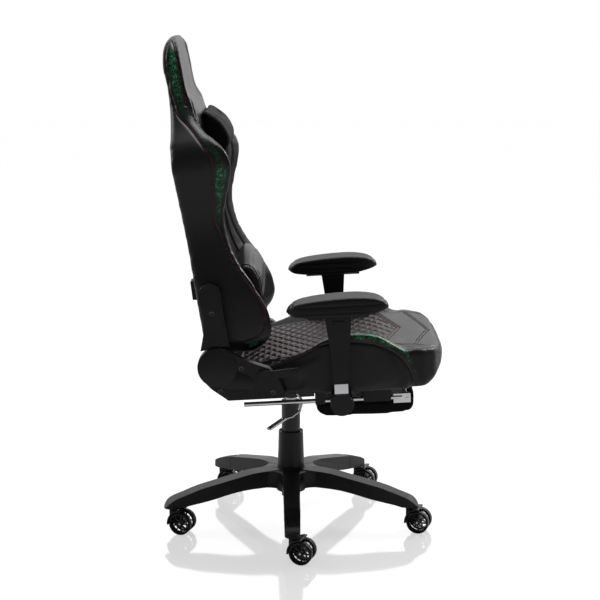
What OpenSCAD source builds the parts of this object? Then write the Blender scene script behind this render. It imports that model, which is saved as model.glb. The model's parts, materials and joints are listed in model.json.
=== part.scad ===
// Gaming chair with a reclining back, lifting arms and a retracting footrest.
// Millimetres. +X is forward, +Y is the sitter's left, +Z is up.
// The origin lies on the floor, on the axis of the gas lift.

/* [Base] */
// Distance from the column's axis to each caster's stem
leg_reach = 331; // [300:1:350]
// Width of a leg at the hub
leg_width = 46; // [40:1:54]
// Height of the hub's top face
hub_top = 150; // [144:1:158]
// Outer diameter of the hub
hub_d = 78; // [72:1:86]
// Wall of the hollow legs
leg_wall = 4; // [3:0.5:5]
// Turn of the star about the column
base_turn = 1; // [-30:1:30]

/* [Casters] */
// Wheel diameter
wheel_d = 60; // [56:1:62]
// Width of one wheel
wheel_w = 17.5; // [15:0.5:18]
// Gap between the two wheels of a caster
wheel_gap = 15; // [14:0.5:18]
// Horizontal distance from the stem to the axle
caster_trail = 27; // [24:1:30]
// Stem diameter
stem_d = 11; // [9:0.5:11]
// Axle diameter
axle_d = 6; // [5:0.5:8]
// Direction in which the casters trail
caster_turn = -18; // [-90:1:90]

/* [Gas lift] */
// Outer diameter of the outer tube
tube_d = 50; // [48:0.5:52]
// Height of the tube's top face
tube_top = 333; // [322:1:336]
// Diameter of the pressure cylinder
cylinder_d = 28; // [26:0.5:30]
// Diameter of the piston rod
rod_d = 10; // [8:0.5:12]
// Diameter of the release pin
valve_d = 7; // [5:0.5:8]

/* [Seat] */
// Height of the seat frame's underside above the floor, at the column
seat_z = 412; // [407:1:418]
// Backward tilt of the seat, degrees
seat_tilt = 3; // [0:0.5:4]
// Width over the side bolsters
seat_w = 530; // [500:2:560]
// Width of the flat centre between the bolsters
centre_w = 410; // [380:2:430]
// Reach of the seat's nose in front of the column
seat_nose = 401; // [385:1:420]
// Height of the seat's front above the frame's underside
seat_front_h = 111; // [100:1:125]
// Height of the bolsters' crowns above the frame's underside
bolster_h = 153; // [140:1:165]
// Side of the frame's square tube
tube_side = 25; // [20:1:26]
// Spacing of the seat plate's bolts, front to back
plate_bolts_x = 150; // [140:1:160]
// Spacing of the seat plate's bolts, side to side
plate_bolts_y = 200; // [190:1:210]

/* [Arms] */
// Distance from the seat's side to the centre plane of an arm
arm_out = 38; // [34:1:50]
// Position of the arm posts in front of the column
arm_u = 129; // [115:1:140]
// Length of an arm pad
pad_l = 255; // [230:1:280]
// Width of an arm pad
pad_w = 94; // [80:1:100]
// Thickness of an arm pad
pad_t = 48; // [38:1:52]
// Height of the pad's underside above the frame's underside
pad_z = 212; // [206:1:225]

/* [Recliner] */
// Distance of the recline axis behind the column
pivot_back = 176; // [170:1:185]
// Height of the recline axis above the frame's underside
pivot_h = 92; // [88:1:98]
// Diameter of the recline pins
pin_d = 12; // [10:0.5:14]
// Diameter of the round hub cover
hub_cover_d = 100; // [94:1:104]
// Thickness of the steel plates
plate_t = 5; // [4:0.5:6]
// Lean of the back at rest, relative to the seat, degrees
back_lean = 5.4; // [2:0.2:12]

/* [Back] */
// Height of the back above the recline axis
back_h = 817; // [790:1:840]
// Width over the shoulders
shoulder_w = 536; // [500:2:560]
// Width of the waist
waist_w = 480; // [460:2:500]
// Clearance between the hips and the recline plates
hip_gap = 4; // [3:0.5:8]
// Width of the head
head_w = 334; // [310:2:350]
// Depth from the back's rear face to the shoulders' front edges
shoulder_depth = 136; // [120:1:142]
// Depth from the back's rear face to the hips' front edges
hip_depth = 174; // [150:1:178]

/* [Footrest] */
// Distance between the rails
rail_span = 340; // [334:1:346]
// Diameter of the rails
rail_d = 12; // [10:0.5:14]
// Length of the rails
rail_l = 422; // [400:1:430]
// Width of the footrest pad
foot_w = 290; // [250:2:300]
// Length of the footrest pad
foot_l = 256; // [230:1:260]
// Thickness of the footrest pad
foot_t = 39; // [28:1:40]

/* [Hidden] */
$fn = 48;
SIDES = ["right", "left"];
LEGS = [1, 2, 3, 4, 5];
leg_step = 72;
first_leg = -90;
seat_gap = 0.3;
running = 0.05;
bolt_d = 8;
bolt_hole = 8.4;

floor_gap = 7;
tip_bottom = wheel_d + floor_gap;
tip_r = 20;
hub_foot = tip_bottom + 5;
web_r = 40;
wheel_r = wheel_d / 2;
hood_gap = 1.5;
hood_t = 4;
web_half = wheel_gap / 2 - 0.5;
caster_half = wheel_gap / 2 + wheel_w;
stem_top = tip_bottom + 15;

tube_foot = hub_foot - 5;
bare_tube = 84;
tube_wall = 2;
collar_h = 20;
cylinder_wall = 2;
cylinder_foot = tube_foot + 17;
taper_l = 42;
taper_drop = 1;
cylinder_top = seat_z - 27;
valve_out = 8;
cover_gap = 0.3;

half_seat = seat_w / 2;
half_centre = centre_w / 2;
frame_half = half_seat - 22;
frame_rear = -160;
frame_front = seat_nose - 103;
cushion_floor = tube_side + 2.3;
front_block = frame_front + seat_gap;
skirt_floor = 3;
skirt_rear = -20;
half_plate_x = plate_bolts_x / 2;
half_plate_y = plate_bolts_y / 2;
sheet_t = 4;
pan_wall = 3;
pan_half_x = 60;
pan_half_y = 70;
pan_floor = -54;
lever_d = 8;
lever_h = cylinder_top + valve_out + seat_gap + lever_d / 2 - seat_z;
ear_y = pan_half_y - 9;
pivot_pin_d = 5;

arm_y = half_seat + arm_out;
post_floor = 38;
post_top = pad_z - 5.3;
post_top_w = 65;
post_foot_w = 38;
post_half_y = 18;
slider_w = 44;
slider_t = 18;
slider_foot = 76;
bar_w = 34;
bar_t = 18;
bar_top = 60;
foot_bar_t = 8;
foot_bar_w = 50;
pad_plate_t = 5;
button_l = 28;
button_h = 11;
button_travel = 3;

back_plate_y = half_seat + 1;
seat_plate_y = back_plate_y + plate_t + 0.5;
cover_y = seat_plate_y + plate_t + seat_gap;
cover_t = 26;
cover_wall = 3;
lever_u = 116;
lever_w = -27;
lever_shaft_d = 10;

back_rear = -29;
half_head = head_w / 2;
half_hip = back_plate_y - hip_gap;
wing_inner = half_centre - 20;
back_face = back_rear + 84;
back_tube_d = 22;
boss_low = 90;
boss_high = 160;
boss_d = 20;
boss_depth = 22;
waist_q = 345;
neck_q = up(0.625);
frame_top_q = up(0.265);
pillow_half = half_head - 37;
lumbar_half = wing_inner - 33;

rail_y = rail_span / 2;
rail_w = -40;
rail_front = 300;
guide_w = 30;
guide_front_u = 222;
hinge_w = -46;
foot_u = rail_front;
axle_bar_d = 10;

// ---- Helpers ----

// A point on a Catmull-Rom curve between b and c
function curve_point(a, b, c, d, t) =
    0.5 * (2 * b + (c - a) * t + (2 * a - 5 * b + 4 * c - d) * t * t
           + (3 * b - a - 3 * c + d) * t * t * t);

// An open smooth curve through the points, with `steps` pieces between neighbours
function smooth(points, steps = 3) =
    let (last = len(points) - 1)
    concat([for (i = [0 : last - 1], k = [0 : steps - 1])
                curve_point(points[max(i - 1, 0)], points[i], points[i + 1],
                            points[min(i + 2, last)], k / steps)],
           [points[last]]);

// A closed outline from one half, mirrored across the second axis
function both_halves(half) =
    concat(half, [for (i = [len(half) - 1 : -1 : 0]) [half[i][0], -half[i][1]]]);

// A height on the back: 0 at the waist, 1 at the top
function up(share) = waist_q + share * (back_h - waist_q);

// Side view (x, z) outline given as a child, standing between two y planes
module slab(y_low, y_high) {
    translate([0, y_high, 0]) rotate([90, 0, 0]) linear_extrude(y_high - y_low) children();
}

// Front view (y, z) outline given as a child, standing between two x planes
module front_slab(x_low, x_high) {
    translate([x_low, 0, 0]) rotate([90, 0, 90]) linear_extrude(x_high - x_low) children();
}

// Pieces are drawn on the left (+Y) and mirrored for the right
module on_side(side) {
    if (side == "right") mirror([0, 1, 0]) children();
    else children();
}

module both_sides() {
    children();
    mirror([0, 1, 0]) children();
}

// The seat's own frame: origin on the column's axis, at the frame's underside
module on_seat() {
    translate([0, 0, seat_z]) rotate([0, -seat_tilt, 0]) children();
}

// The recliner's frame, on the recline axis and parallel to the seat
module on_pivot() {
    on_seat() translate([-pivot_back, 0, pivot_h]) children();
}

// The back's frame: x forward and z along the back, from the recline axis
module on_back() {
    on_pivot() rotate([0, -back_lean, 0]) children();
}

// A round bar along +Y between two planes
module bar_y(y_low, y_high, d) {
    translate([0, y_low, 0]) rotate([-90, 0, 0]) cylinder(d = d, h = y_high - y_low);
}

// A round bar between two points
module bar_between(a, b, d) {
    v = b - a;
    translate(a) rotate([0, acos(v[2] / norm(v)), atan2(v[1], v[0])]) cylinder(d = d, h = norm(v));
}

// ---- Base ----

module at_leg(n) {
    rotate([0, 0, base_turn + first_leg + (n - 1) * leg_step]) children();
}

module leg_profile() {
    r = leg_reach;
    h = hub_top - tip_bottom;
    top = smooth([[0, hub_top], [r * 0.3, hub_top - h * 0.06], [r * 0.44, hub_top - h * 0.145],
                  [r * 0.61, hub_top - h * 0.28], [r * 0.78, hub_top - h * 0.42],
                  [r * 0.9, hub_top - h * 0.57], [r, hub_top - h * 0.7],
                  [r + 17, hub_top - h * 0.86], [r + 25, tip_bottom]]);
    bottom = smooth([[r - 16, tip_bottom], [r * 0.88, tip_bottom + 5], [r * 0.7, tip_bottom + 14],
                     [r * 0.53, tip_bottom + 26], [r * 0.36, tip_bottom + 33],
                     [0, tip_bottom + 35]]);
    polygon(concat(top, bottom));
}

// Seen from above: a tapered bar with a rounded tip
module leg_plan(inset) {
    half = leg_width / 2 - inset;
    tip = tip_r - inset;
    polygon(concat([[0, -half]],
                   [for (a = [-85 : 10 : 85]) [leg_reach + 4 + tip * cos(a), tip * sin(a)]],
                   [[0, half]]));
}

module leg_body(inset, drop) {
    intersection() {
        translate([0, 0, -drop]) slab(-leg_width, leg_width) leg_profile();
        linear_extrude(hub_top + 10) leg_plan(inset);
    }
}

module leg_ribs() {
    rib_step = 44;
    for (k = [1 : 5])
        translate([hub_d / 2 + k * rib_step - 1.5, -leg_width / 2, 0])
            cube([3, leg_width, hub_top]);
    translate([0, -1.5, 0]) cube([leg_reach, 3, hub_top]);
}

module leg_pocket() {
    difference() {
        leg_body(leg_wall, leg_wall);
        leg_ribs();
        translate([leg_reach, 0, 0]) cylinder(d = stem_d + 10, h = hub_top);
        cylinder(d = hub_d + 2 * leg_wall, h = hub_top);
    }
}

// Webs that round the inner corners between neighbouring legs
module hub_webs() {
    corner = (leg_width / 2 + web_r) / sin(leg_step / 2);
    difference() {
        rotate_extrude() intersection() {
            leg_profile();
            square([corner * cos(leg_step / 2), hub_top + 1]);
        }
        for (n = LEGS) at_leg(n) rotate(leg_step / 2) translate([corner, 0, 0])
            cylinder(r = web_r + 1.5, h = hub_top + 2);
    }
}

module base_star() {
    color([0.13, 0.13, 0.14])
    difference() {
        union() {
            translate([0, 0, hub_foot]) cylinder(d = hub_d, h = hub_top - hub_foot);
            hub_webs();
            for (n = LEGS) at_leg(n) leg_body(0, 0);
        }
        for (n = LEGS) at_leg(n) {
            leg_pocket();
            translate([leg_reach, 0, tip_bottom - 1])
                cylinder(d = stem_d + 2 * running, h = stem_top - tip_bottom + 1.5);
        }
        cylinder(d = tube_d + 2 * running, h = hub_top + 1);
    }
}

// Two nested stages, both standing on the hub
module column_covers() {
    h = tube_top - hub_top - bare_tube;
    color([0.12, 0.11, 0.1]) translate([0, 0, hub_top + cover_gap]) {
        difference() {
            cylinder(d1 = tube_d + 22, d2 = tube_d + 16, h = h);
            translate([0, 0, -1]) cylinder(d1 = tube_d + 16.2, d2 = tube_d + 10, h = h + 2);
        }
        difference() {
            cylinder(d1 = tube_d + 9, d2 = tube_d + 5, h = h - 2);
            translate([0, 0, -1]) cylinder(d = tube_d + 2, h = h + 2);
        }
    }
}

// ---- Casters ----

module at_caster(n) {
    turn = base_turn + first_leg + (n - 1) * leg_step;
    translate([leg_reach * cos(turn), leg_reach * sin(turn), 0])
        rotate([0, 0, caster_turn]) children();
}

module hood_outline() {
    outer = wheel_r + hood_gap + hood_t;
    intersection() {
        difference() {
            circle(outer);
            circle(wheel_r + hood_gap);
        }
        polygon([[0, 0], [8, 2 * outer], [-2 * outer, 2 * outer], [-2 * outer, -8]]);
    }
}

module caster_housing() {
    color([0.1, 0.1, 0.11])
    difference() {
        union() {
            translate([caster_trail, 0, wheel_r]) {
                slab(-caster_half, caster_half) hood_outline();
                slab(-web_half, web_half) {
                    circle(axle_d / 2 + 6);
                    polygon([[0, -axle_d / 2 - 6], [0, axle_d / 2 + 6], [8, wheel_r + hood_gap + 1],
                             [-caster_trail - 8, wheel_r + hood_gap + 1],
                             [-caster_trail - 8, 2], [-caster_trail + 6, -8]]);
                }
            }
            translate([0, 0, wheel_d + hood_gap - 3]) cylinder(d = stem_d + 9, h = 7);
        }
        translate([0, 0, wheel_r + 6]) cylinder(d = stem_d + 2 * running, h = wheel_d);
        translate([caster_trail, 0, wheel_r]) bar_y(-caster_half, caster_half, axle_d + 2 * running);
    }
}

module caster_pins() {
    color("silver") {
        translate([0, 0, wheel_r + 6.2]) cylinder(d = stem_d, h = stem_top - wheel_r - 6.2);
        translate([caster_trail, 0, wheel_r]) bar_y(-caster_half + 1, caster_half - 1, axle_d);
    }
}

module caster_wheel(side) {
    spokes = 9;
    rim_in = wheel_r - 6;
    face = wheel_gap / 2 + wheel_w;
    color([0.09, 0.09, 0.1]) translate([caster_trail, 0, wheel_r]) on_side(side)
    difference() {
        union() {
            translate([0, wheel_gap / 2, 0]) rotate([-90, 0, 0]) rotate_extrude()
                polygon([[rim_in, 0], [wheel_r - 2, 0], [wheel_r, 2], [wheel_r, wheel_w - 2],
                         [wheel_r - 2, wheel_w], [rim_in + 1, wheel_w], [rim_in, wheel_w - 2]]);
            bar_y(wheel_gap / 2 + 1, face - 1, axle_d + 8);
            slab(face - 9, face - 2)
                for (k = [0 : spokes - 1])
                    rotate(k * 360 / spokes) translate([axle_d / 2 + 2, -1.3]) square([rim_in - 4, 2.6]);
        }
        bar_y(0, face + 1, axle_d + 2 * running);
    }
}

// ---- Gas lift ----

module gas_tube() {
    color([0.1, 0.1, 0.1])
    difference() {
        translate([0, 0, tube_foot]) cylinder(d = tube_d, h = tube_top - tube_foot);
        translate([0, 0, tube_foot + 6])
            cylinder(d = tube_d - 2 * tube_wall, h = tube_top - tube_foot - 6 - collar_h);
        translate([0, 0, tube_foot - 1])
            cylinder(d = rod_d + 2 * running, h = 8);
        translate([0, 0, tube_top - collar_h - 1])
            cylinder(d = cylinder_d + 2 * running, h = collar_h + 2);
    }
}

module piston_rod() {
    piston_z = tube_top - 42;
    color("silver") {
        translate([0, 0, tube_foot - 5]) cylinder(d = rod_d, h = piston_z - tube_foot + 5);
        translate([0, 0, tube_foot - 2.3]) cylinder(d = rod_d + 10, h = 2);
        translate([0, 0, tube_foot + 6.2]) cylinder(d = rod_d + 20, h = 5);
        translate([0, 0, piston_z])
            cylinder(d = cylinder_d - 2 * cylinder_wall - 2 * running, h = 10);
    }
}

module cylinder_outline(grow) {
    r = cylinder_d / 2 + grow;
    polygon([[0, cylinder_foot], [r, cylinder_foot], [r, cylinder_top - taper_l],
             [r - taper_drop, cylinder_top], [0, cylinder_top]]);
}

module gas_cylinder() {
    color([0.75, 0.75, 0.76])
    difference() {
        rotate_extrude() cylinder_outline(0);
        translate([0, 0, cylinder_foot + 12])
            cylinder(d = cylinder_d - 2 * cylinder_wall, h = cylinder_top - cylinder_foot - 42);
        translate([0, 0, cylinder_foot - 1]) cylinder(d = rod_d + 2 * running, h = 14);
        translate([0, 0, cylinder_top - 20]) cylinder(d = valve_d + 2 * running, h = 21);
    }
}

module valve_pin() {
    color("silver") translate([0, 0, cylinder_top - 13]) cylinder(d = valve_d, h = 13 + valve_out);
}

// ---- Under the seat ----

module seat_plate() {
    plate_x = half_plate_x + 17;
    plate_y = half_plate_y + 18;
    color([0.12, 0.12, 0.12])
    difference() {
        union() {
            on_seat() {
                difference() {
                    union() {
                        translate([-plate_x, -plate_y, -sheet_t]) cube([2 * plate_x, 2 * plate_y, sheet_t]);
                        translate([-pan_half_x, -pan_half_y, pan_floor])
                            cube([2 * pan_half_x, 2 * pan_half_y, -pan_floor]);
                    }
                    translate([-pan_half_x + pan_wall, -pan_half_y + pan_wall, pan_floor + pan_wall])
                        cube([2 * (pan_half_x - pan_wall), 2 * (pan_half_y - pan_wall), -pan_floor]);
                    for (x = [-half_plate_x, half_plate_x], y = [-half_plate_y, half_plate_y])
                        translate([x, y, -sheet_t - 1]) cylinder(d = bolt_hole, h = sheet_t + 2);
                    translate([-lever_d, -pan_half_y - 1, lever_h - 14])
                        cube([2 * lever_d, pan_wall + 2, 24]);
                }
                for (x = [-lever_d - 3, lever_d])
                    translate([x, -ear_y - 5, pan_floor + 1]) cube([3, 10, lever_h + 6 - pan_floor - 1]);
            }
            translate([0, 0, cylinder_top - taper_l]) cylinder(d = cylinder_d + 12, h = taper_l + 2);
        }
        translate([0, 0, cylinder_top - taper_l - 1])
            cylinder(r1 = cylinder_d / 2 + running, r2 = cylinder_d / 2 - taper_drop + running,
                     h = taper_l + 4);
        on_seat() translate([-lever_d - 5, -ear_y, lever_h])
            rotate([0, 90, 0]) cylinder(d = pivot_pin_d + 2 * running, h = 2 * lever_d + 10);
    }
}

module lift_lever() {
    out = -pan_half_y;
    path = [[0, 5, lever_h], [0, out - 10, lever_h], [12, out - 18, lever_h - 14],
            [27, out - 24, -60], [19, out - 28, -84], [-2, out - 37, -96], [-24, out - 48, -99]];
    color([0.6, 0.6, 0.62]) on_seat() {
        for (k = [0 : len(path) - 2]) {
            bar_between(path[k], path[k + 1], lever_d);
            translate(path[k + 1]) sphere(d = lever_d + 1.2);
        }
        translate([-lever_d - 4, -ear_y, lever_h]) rotate([0, 90, 0])
            cylinder(d = pivot_pin_d, h = 2 * lever_d + 8);
        translate(path[len(path) - 1]) rotate([0, 19, -143]) translate([-4, -8, -2.5])
            cube([56, 16, 5]);
    }
}

module frame_bolts() {
    for (x = [-half_plate_x, half_plate_x], y = [-half_plate_y, half_plate_y])
        translate([x, y, -sheet_t]) children();
    for (x = [arm_u - 15, arm_u + 15], s = [-1, 1])
        translate([x, s * (frame_half - tube_side / 2), -foot_bar_t]) children();
    for (x = [half_plate_x, guide_front_u], s = [-1, 1]) translate([x, s * rail_y, -sheet_t]) children();
}

module seat_bolts() {
    color([0.3, 0.3, 0.32]) on_seat() frame_bolts() {
        translate([0, 0, -5.3]) cylinder(d = 13, h = 5, $fn = 6);
        translate([0, 0, -1]) cylinder(d = bolt_d, h = tube_side);
    }
}

module seat_frame() {
    cross_u = [-half_plate_x - tube_side / 2, half_plate_x - tube_side / 2,
               guide_front_u - tube_side / 2, frame_front - tube_side];
    color([0.15, 0.15, 0.16]) on_seat()
    difference() {
        union() {
            for (y = [-frame_half, frame_half - tube_side])
                translate([frame_rear, y, 0]) cube([frame_front - frame_rear, tube_side, tube_side]);
            for (x = cross_u) translate([x, -frame_half, 0]) cube([tube_side, 2 * frame_half, tube_side]);
            for (x = [frame_rear, -half_plate_x - tube_side / 2])
                translate([x, -seat_plate_y, 0]) cube([tube_side, 2 * seat_plate_y, tube_side]);
        }
        frame_bolts() cylinder(d = bolt_hole, h = tube_side + foot_bar_t);
    }
}

module seat_webbing() {
    strap_w = 30;
    color([0.2, 0.2, 0.2]) on_seat()
    for (x = [-130, -55, -5, 45, 95, 150, 240])
        translate([x, -frame_half + 6, tube_side]) cube([strap_w, 2 * frame_half - 12, 2]);
}

// ---- Seat ----

module cushion_profile() {
    n = seat_nose;
    h = seat_front_h;
    rear = -125;
    top = smooth([[rear, h - 38], [-20, h - 28], [150, h - 10], [n - 106, h], [n - 62, h - 1],
                  [n - 32, h - 6], [n - 12, h - 17], [n - 1, h - 34], [n - 2, h - 50],
                  [n - 17, h - 72], [n - 46, 10], [n - 68, 4]]);
    polygon(concat(top, [[front_block, 4], [front_block, cushion_floor], [rear, cushion_floor]]));
}

module cushion_plan() {
    n = seat_nose;
    half = [[-125, half_centre - seat_gap], [front_block, half_centre - seat_gap],
            [front_block, half_seat - 7], [n - 62, half_seat - 10], [n - 30, half_seat - 32],
            [n - 11, half_seat - 80], [n - 3, half_seat - 140], [n, half_seat - 200]];
    polygon(both_halves(half));
}

module seat_cushion() {
    color([0.2, 0.2, 0.2]) on_seat()
    intersection() {
        slab(-half_seat, half_seat) cushion_profile();
        linear_extrude(2 * seat_front_h) cushion_plan();
    }
}

module bolster_profile(floor_w, rear) {
    h = bolster_h;
    top = smooth([[-120, h - 76], [-50, h - 70], [0, h - 53], [54, h - 35], [102, h - 9],
                  [162, h], [223, h - 8], [283, h - 38], [front_block, h - 48]]);
    polygon(concat([for (p = top) if (p[0] > rear) p], [[front_block, floor_w], [rear, floor_w],
            [rear, h - 76]]));
}

module seat_bolster(side) {
    color([0.13, 0.13, 0.13]) on_seat() on_side(side)
    difference() {
        union() {
            slab(half_centre, half_seat) bolster_profile(cushion_floor, -120);
            slab(frame_half + seat_gap, half_seat) bolster_profile(skirt_floor, skirt_rear);
        }
        translate([front_block - 1, half_centre - 1, 0]) cube([50, seat_w, seat_w]);
    }
}

// ---- Arms ----

module arm_brackets() {
    foot_in = frame_half - 113;
    color([0.8, 0.8, 0.82]) on_seat() both_sides()
    difference() {
        union() {
            translate([arm_u - foot_bar_w / 2, foot_in, -foot_bar_t])
                cube([foot_bar_w, arm_y - foot_in + bar_t / 2, foot_bar_t]);
            translate([arm_u - bar_w / 2, arm_y - bar_t / 2, -foot_bar_t])
                cube([bar_w, bar_t, bar_top + foot_bar_t]);
        }
        for (x = [arm_u - 15, arm_u + 15])
            translate([x, frame_half - tube_side / 2, -foot_bar_t - 1])
                cylinder(d = bolt_hole, h = foot_bar_t + 2);
    }
}

module arm_elbows() {
    color([0.17, 0.18, 0.2]) on_seat() both_sides()
    difference() {
        slab(half_seat + 4, arm_y + 22)
            polygon(smooth([[arm_u - 20, 9], [arm_u - 29, -14], [arm_u - 16, -38], [arm_u + 10, -40],
                            [arm_u + 29, -22], [arm_u + 27, -10], [arm_u + 20, 9]]));
        translate([arm_u - foot_bar_w / 2 - seat_gap, 0, -foot_bar_t - seat_gap])
            cube([foot_bar_w + 2 * seat_gap, arm_y + bar_t / 2 + seat_gap, foot_bar_t + 2 * seat_gap]);
        translate([arm_u - bar_w / 2 - seat_gap, arm_y - bar_t / 2 - seat_gap, -foot_bar_t])
            cube([bar_w + 2 * seat_gap, bar_t + 2 * seat_gap, bar_top]);
        translate([arm_u - 40, half_seat, -foot_bar_t + 8]) cube([80, arm_y - half_seat - 22, 60]);
    }
}

module button_place() {
    translate([arm_u, arm_y + slider_t / 2 + 4, post_top - 13]) children();
}

module arm_post(side) {
    color([0.13, 0.13, 0.14]) on_seat() on_side(side)
    difference() {
        intersection() {
            slab(arm_y - 40, arm_y + 40)
                polygon(concat(smooth([[arm_u - post_foot_w / 2, post_floor], [arm_u - 22, 110],
                                       [arm_u - post_top_w / 2, post_top]]),
                               smooth([[arm_u + post_top_w / 2, post_top], [arm_u + 24, 110],
                                       [arm_u + post_foot_w / 2, post_floor]])));
            front_slab(arm_u - 80, arm_u + 80)
                polygon([[arm_y - 15, post_floor], [arm_y + 15, post_floor],
                         [arm_y + post_half_y, post_top], [arm_y - post_half_y, post_top]]);
        }
        translate([arm_u - slider_w / 2 - 0.3, arm_y - slider_t / 2 - 0.3, slider_foot - 10])
            cube([slider_w + 0.6, slider_t + 0.6, post_top]);
        translate([arm_u - bar_w / 2 - 0.2, arm_y - bar_t / 2 - 0.2, post_floor - 1])
            cube([bar_w + 0.4, bar_t + 0.4, slider_foot - post_floor]);
        button_place() translate([-button_l / 2 - 0.3, -6, -button_h / 2 - 0.3])
            cube([button_l + 0.6, 20, button_h + 0.6]);
    }
}

module arm_slider(side) {
    plate_l = pad_l - 105;
    color([0.12, 0.12, 0.12]) on_seat() on_side(side) {
        translate([arm_u - slider_w / 2, arm_y - slider_t / 2, slider_foot])
            cube([slider_w, slider_t, pad_z - slider_foot]);
        translate([arm_u - plate_l / 2, arm_y - 26, pad_z - pad_plate_t])
            cube([plate_l, 52, pad_plate_t]);
    }
}

module arm_button(side) {
    color([0.2, 0.2, 0.21]) on_seat() on_side(side)
    button_place() translate([-button_l / 2, 0, -button_h / 2])
        cube([button_l, post_half_y - slider_t / 2 - 2, button_h]);
}

module pad_profile() {
    rear = arm_u - pad_l / 2;
    z = pad_z + seat_gap;
    top = smooth([[rear, z + pad_t * 0.28], [rear + 10, z + pad_t * 0.54], [rear + 36, z + pad_t * 0.79],
                  [rear + 97, z + pad_t * 0.95], [rear + 172, z + pad_t],
                  [rear + pad_l - 30, z + pad_t * 0.86], [rear + pad_l - 6, z + pad_t * 0.55],
                  [rear + pad_l, z + pad_t * 0.3]]);
    polygon(concat(top, [[rear + pad_l - 16, z + pad_t * 0.2], [rear + 190, z], [rear + 60, z],
                         [rear + 18, z + pad_t * 0.1]]));
}

module pad_plan() {
    rear = arm_u - pad_l / 2;
    half = smooth([[rear, 14], [rear + 9, pad_w / 2 - 16], [rear + 40, pad_w / 2 - 3],
                   [rear + 120, pad_w / 2], [rear + pad_l - 45, pad_w / 2 - 3],
                   [rear + pad_l - 9, pad_w / 2 - 18], [rear + pad_l, 14]]);
    polygon(both_halves(half));
}

module arm_pad(side) {
    color([0.16, 0.16, 0.17]) on_seat() on_side(side)
    intersection() {
        slab(arm_y - pad_w, arm_y + pad_w) pad_profile();
        translate([0, arm_y, pad_z]) linear_extrude(2 * pad_t) pad_plan();
    }
}

// ---- Recliner ----

// Side outline of the part of the recliner that is fixed to the seat
module seat_side_outline(inset) {
    r = hub_cover_d / 2 - inset;
    front = pivot_back - 12 - inset;
    low = -pivot_h + inset;
    circle(r);
    polygon([[0, r], [r * 0.8, 32 - inset], [77, 12 - inset], [128, -8 - inset],
             [front - 16, -30], [front, -70], [front, low], [23 + inset, low],
             [8, low + 16], [-18, low + 38], [-r * 0.86, -r * 0.5]]);
}

// The lever sits on the sitter's right only
module at_lever() {
    mirror([0, 1, 0]) translate([lever_u, 0, lever_w]) children();
}

module lever_bore() {
    at_lever() bar_y(back_plate_y, cover_y + cover_t + 1, lever_shaft_d + 2 * running);
}

module recline_seat_plates() {
    color([0.2, 0.2, 0.21]) on_pivot()
    difference() {
        both_sides() {
            slab(seat_plate_y, seat_plate_y + plate_t) seat_side_outline(1);
            bar_y(back_plate_y - 3.2, cover_y + 4, pin_d);
            bar_y(back_plate_y - 3.2, back_plate_y - 0.2, pin_d + 8);
            bar_y(seat_plate_y + plate_t - 1, cover_y + 4, pin_d + 8);
        }
        lever_bore();
    }
}

module recline_back_plates() {
    color([0.2, 0.2, 0.21]) on_back() both_sides() {
        difference() {
            slab(back_plate_y, back_plate_y + plate_t) {
                circle(d = hub_cover_d - 16);
                polygon([[-26, 0], [-20, 56], [37, 56], [34, 0]]);
                upper_cover_outline(1);
            }
            bar_y(0, cover_y, pin_d + 2 * running);
        }
        for (q = [boss_low, boss_high]) translate([10, 0, q]) {
            bar_y(back_plate_y - boss_depth + 1, back_plate_y + 1, bolt_d);
            bar_y(back_plate_y + plate_t - 1, back_plate_y + plate_t + 5, 14, $fn = 6);
        }
    }
}

module recline_covers_lower() {
    color([0.14, 0.14, 0.15]) on_pivot()
    difference() {
        both_sides() slab(cover_y, cover_y + cover_t) seat_side_outline(0);
        both_sides() slab(cover_y - 1, cover_y + cover_t - cover_wall) seat_side_outline(cover_wall);
        lever_bore();
    }
}

module upper_cover_outline(inset) {
    polygon(smooth([[-36 + inset, 46], [-22 + inset, 88], [-14 + inset, 125], [-16 + inset, 155],
                    [-19 + inset, 178], [-15 + inset, 197 - inset], [-2, 207 - inset],
                    [13, 209 - inset], [27 - inset, 201 - inset], [35 - inset, 186],
                    [35 - inset, 130], [36 - inset, 92], [37 - inset, 50]]));
}

module recline_covers_upper() {
    color([0.14, 0.14, 0.15]) on_back() both_sides()
    difference() {
        slab(back_plate_y + plate_t + seat_gap, cover_y + 18) upper_cover_outline(0);
        slab(back_plate_y, cover_y + 18 - cover_wall) upper_cover_outline(cover_wall);
        bar_y(0, cover_y + 40, hub_cover_d + 4);
    }
}

module recline_lever() {
    face = cover_y + cover_t + seat_gap;
    color([0.15, 0.15, 0.16]) on_pivot() at_lever() {
        bar_y(seat_plate_y, face + 1, lever_shaft_d);
        bar_y(face, face + 8.7, 34);
        slab(face, face + 5.7) polygon([[0, -14], [24, -6], [84, -2], [85, 18], [24, 14], [0, 14]]);
    }
}

// ---- Back ----

module back_frame() {
    tube_x = 4;
    side_y = wing_inner + 26;
    color([0.15, 0.15, 0.16]) on_back()
    difference() {
        union() {
            both_sides() {
                bar_between([tube_x, side_y, 34], [tube_x, side_y, frame_top_q], back_tube_d);
                for (q = [boss_low, boss_high])
                    translate([10, 0, q]) bar_y(side_y, back_plate_y, boss_d);
            }
            for (q = [45, 200, frame_top_q])
                translate([tube_x, 0, q]) bar_y(-side_y - back_tube_d / 2 + 1, side_y + back_tube_d / 2 - 1,
                                                back_tube_d - 1);
        }
        both_sides() for (q = [boss_low, boss_high])
            translate([10, 0, q]) bar_y(back_plate_y - boss_depth, back_plate_y + 1, bolt_d + 2 * running);
    }
}

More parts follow.
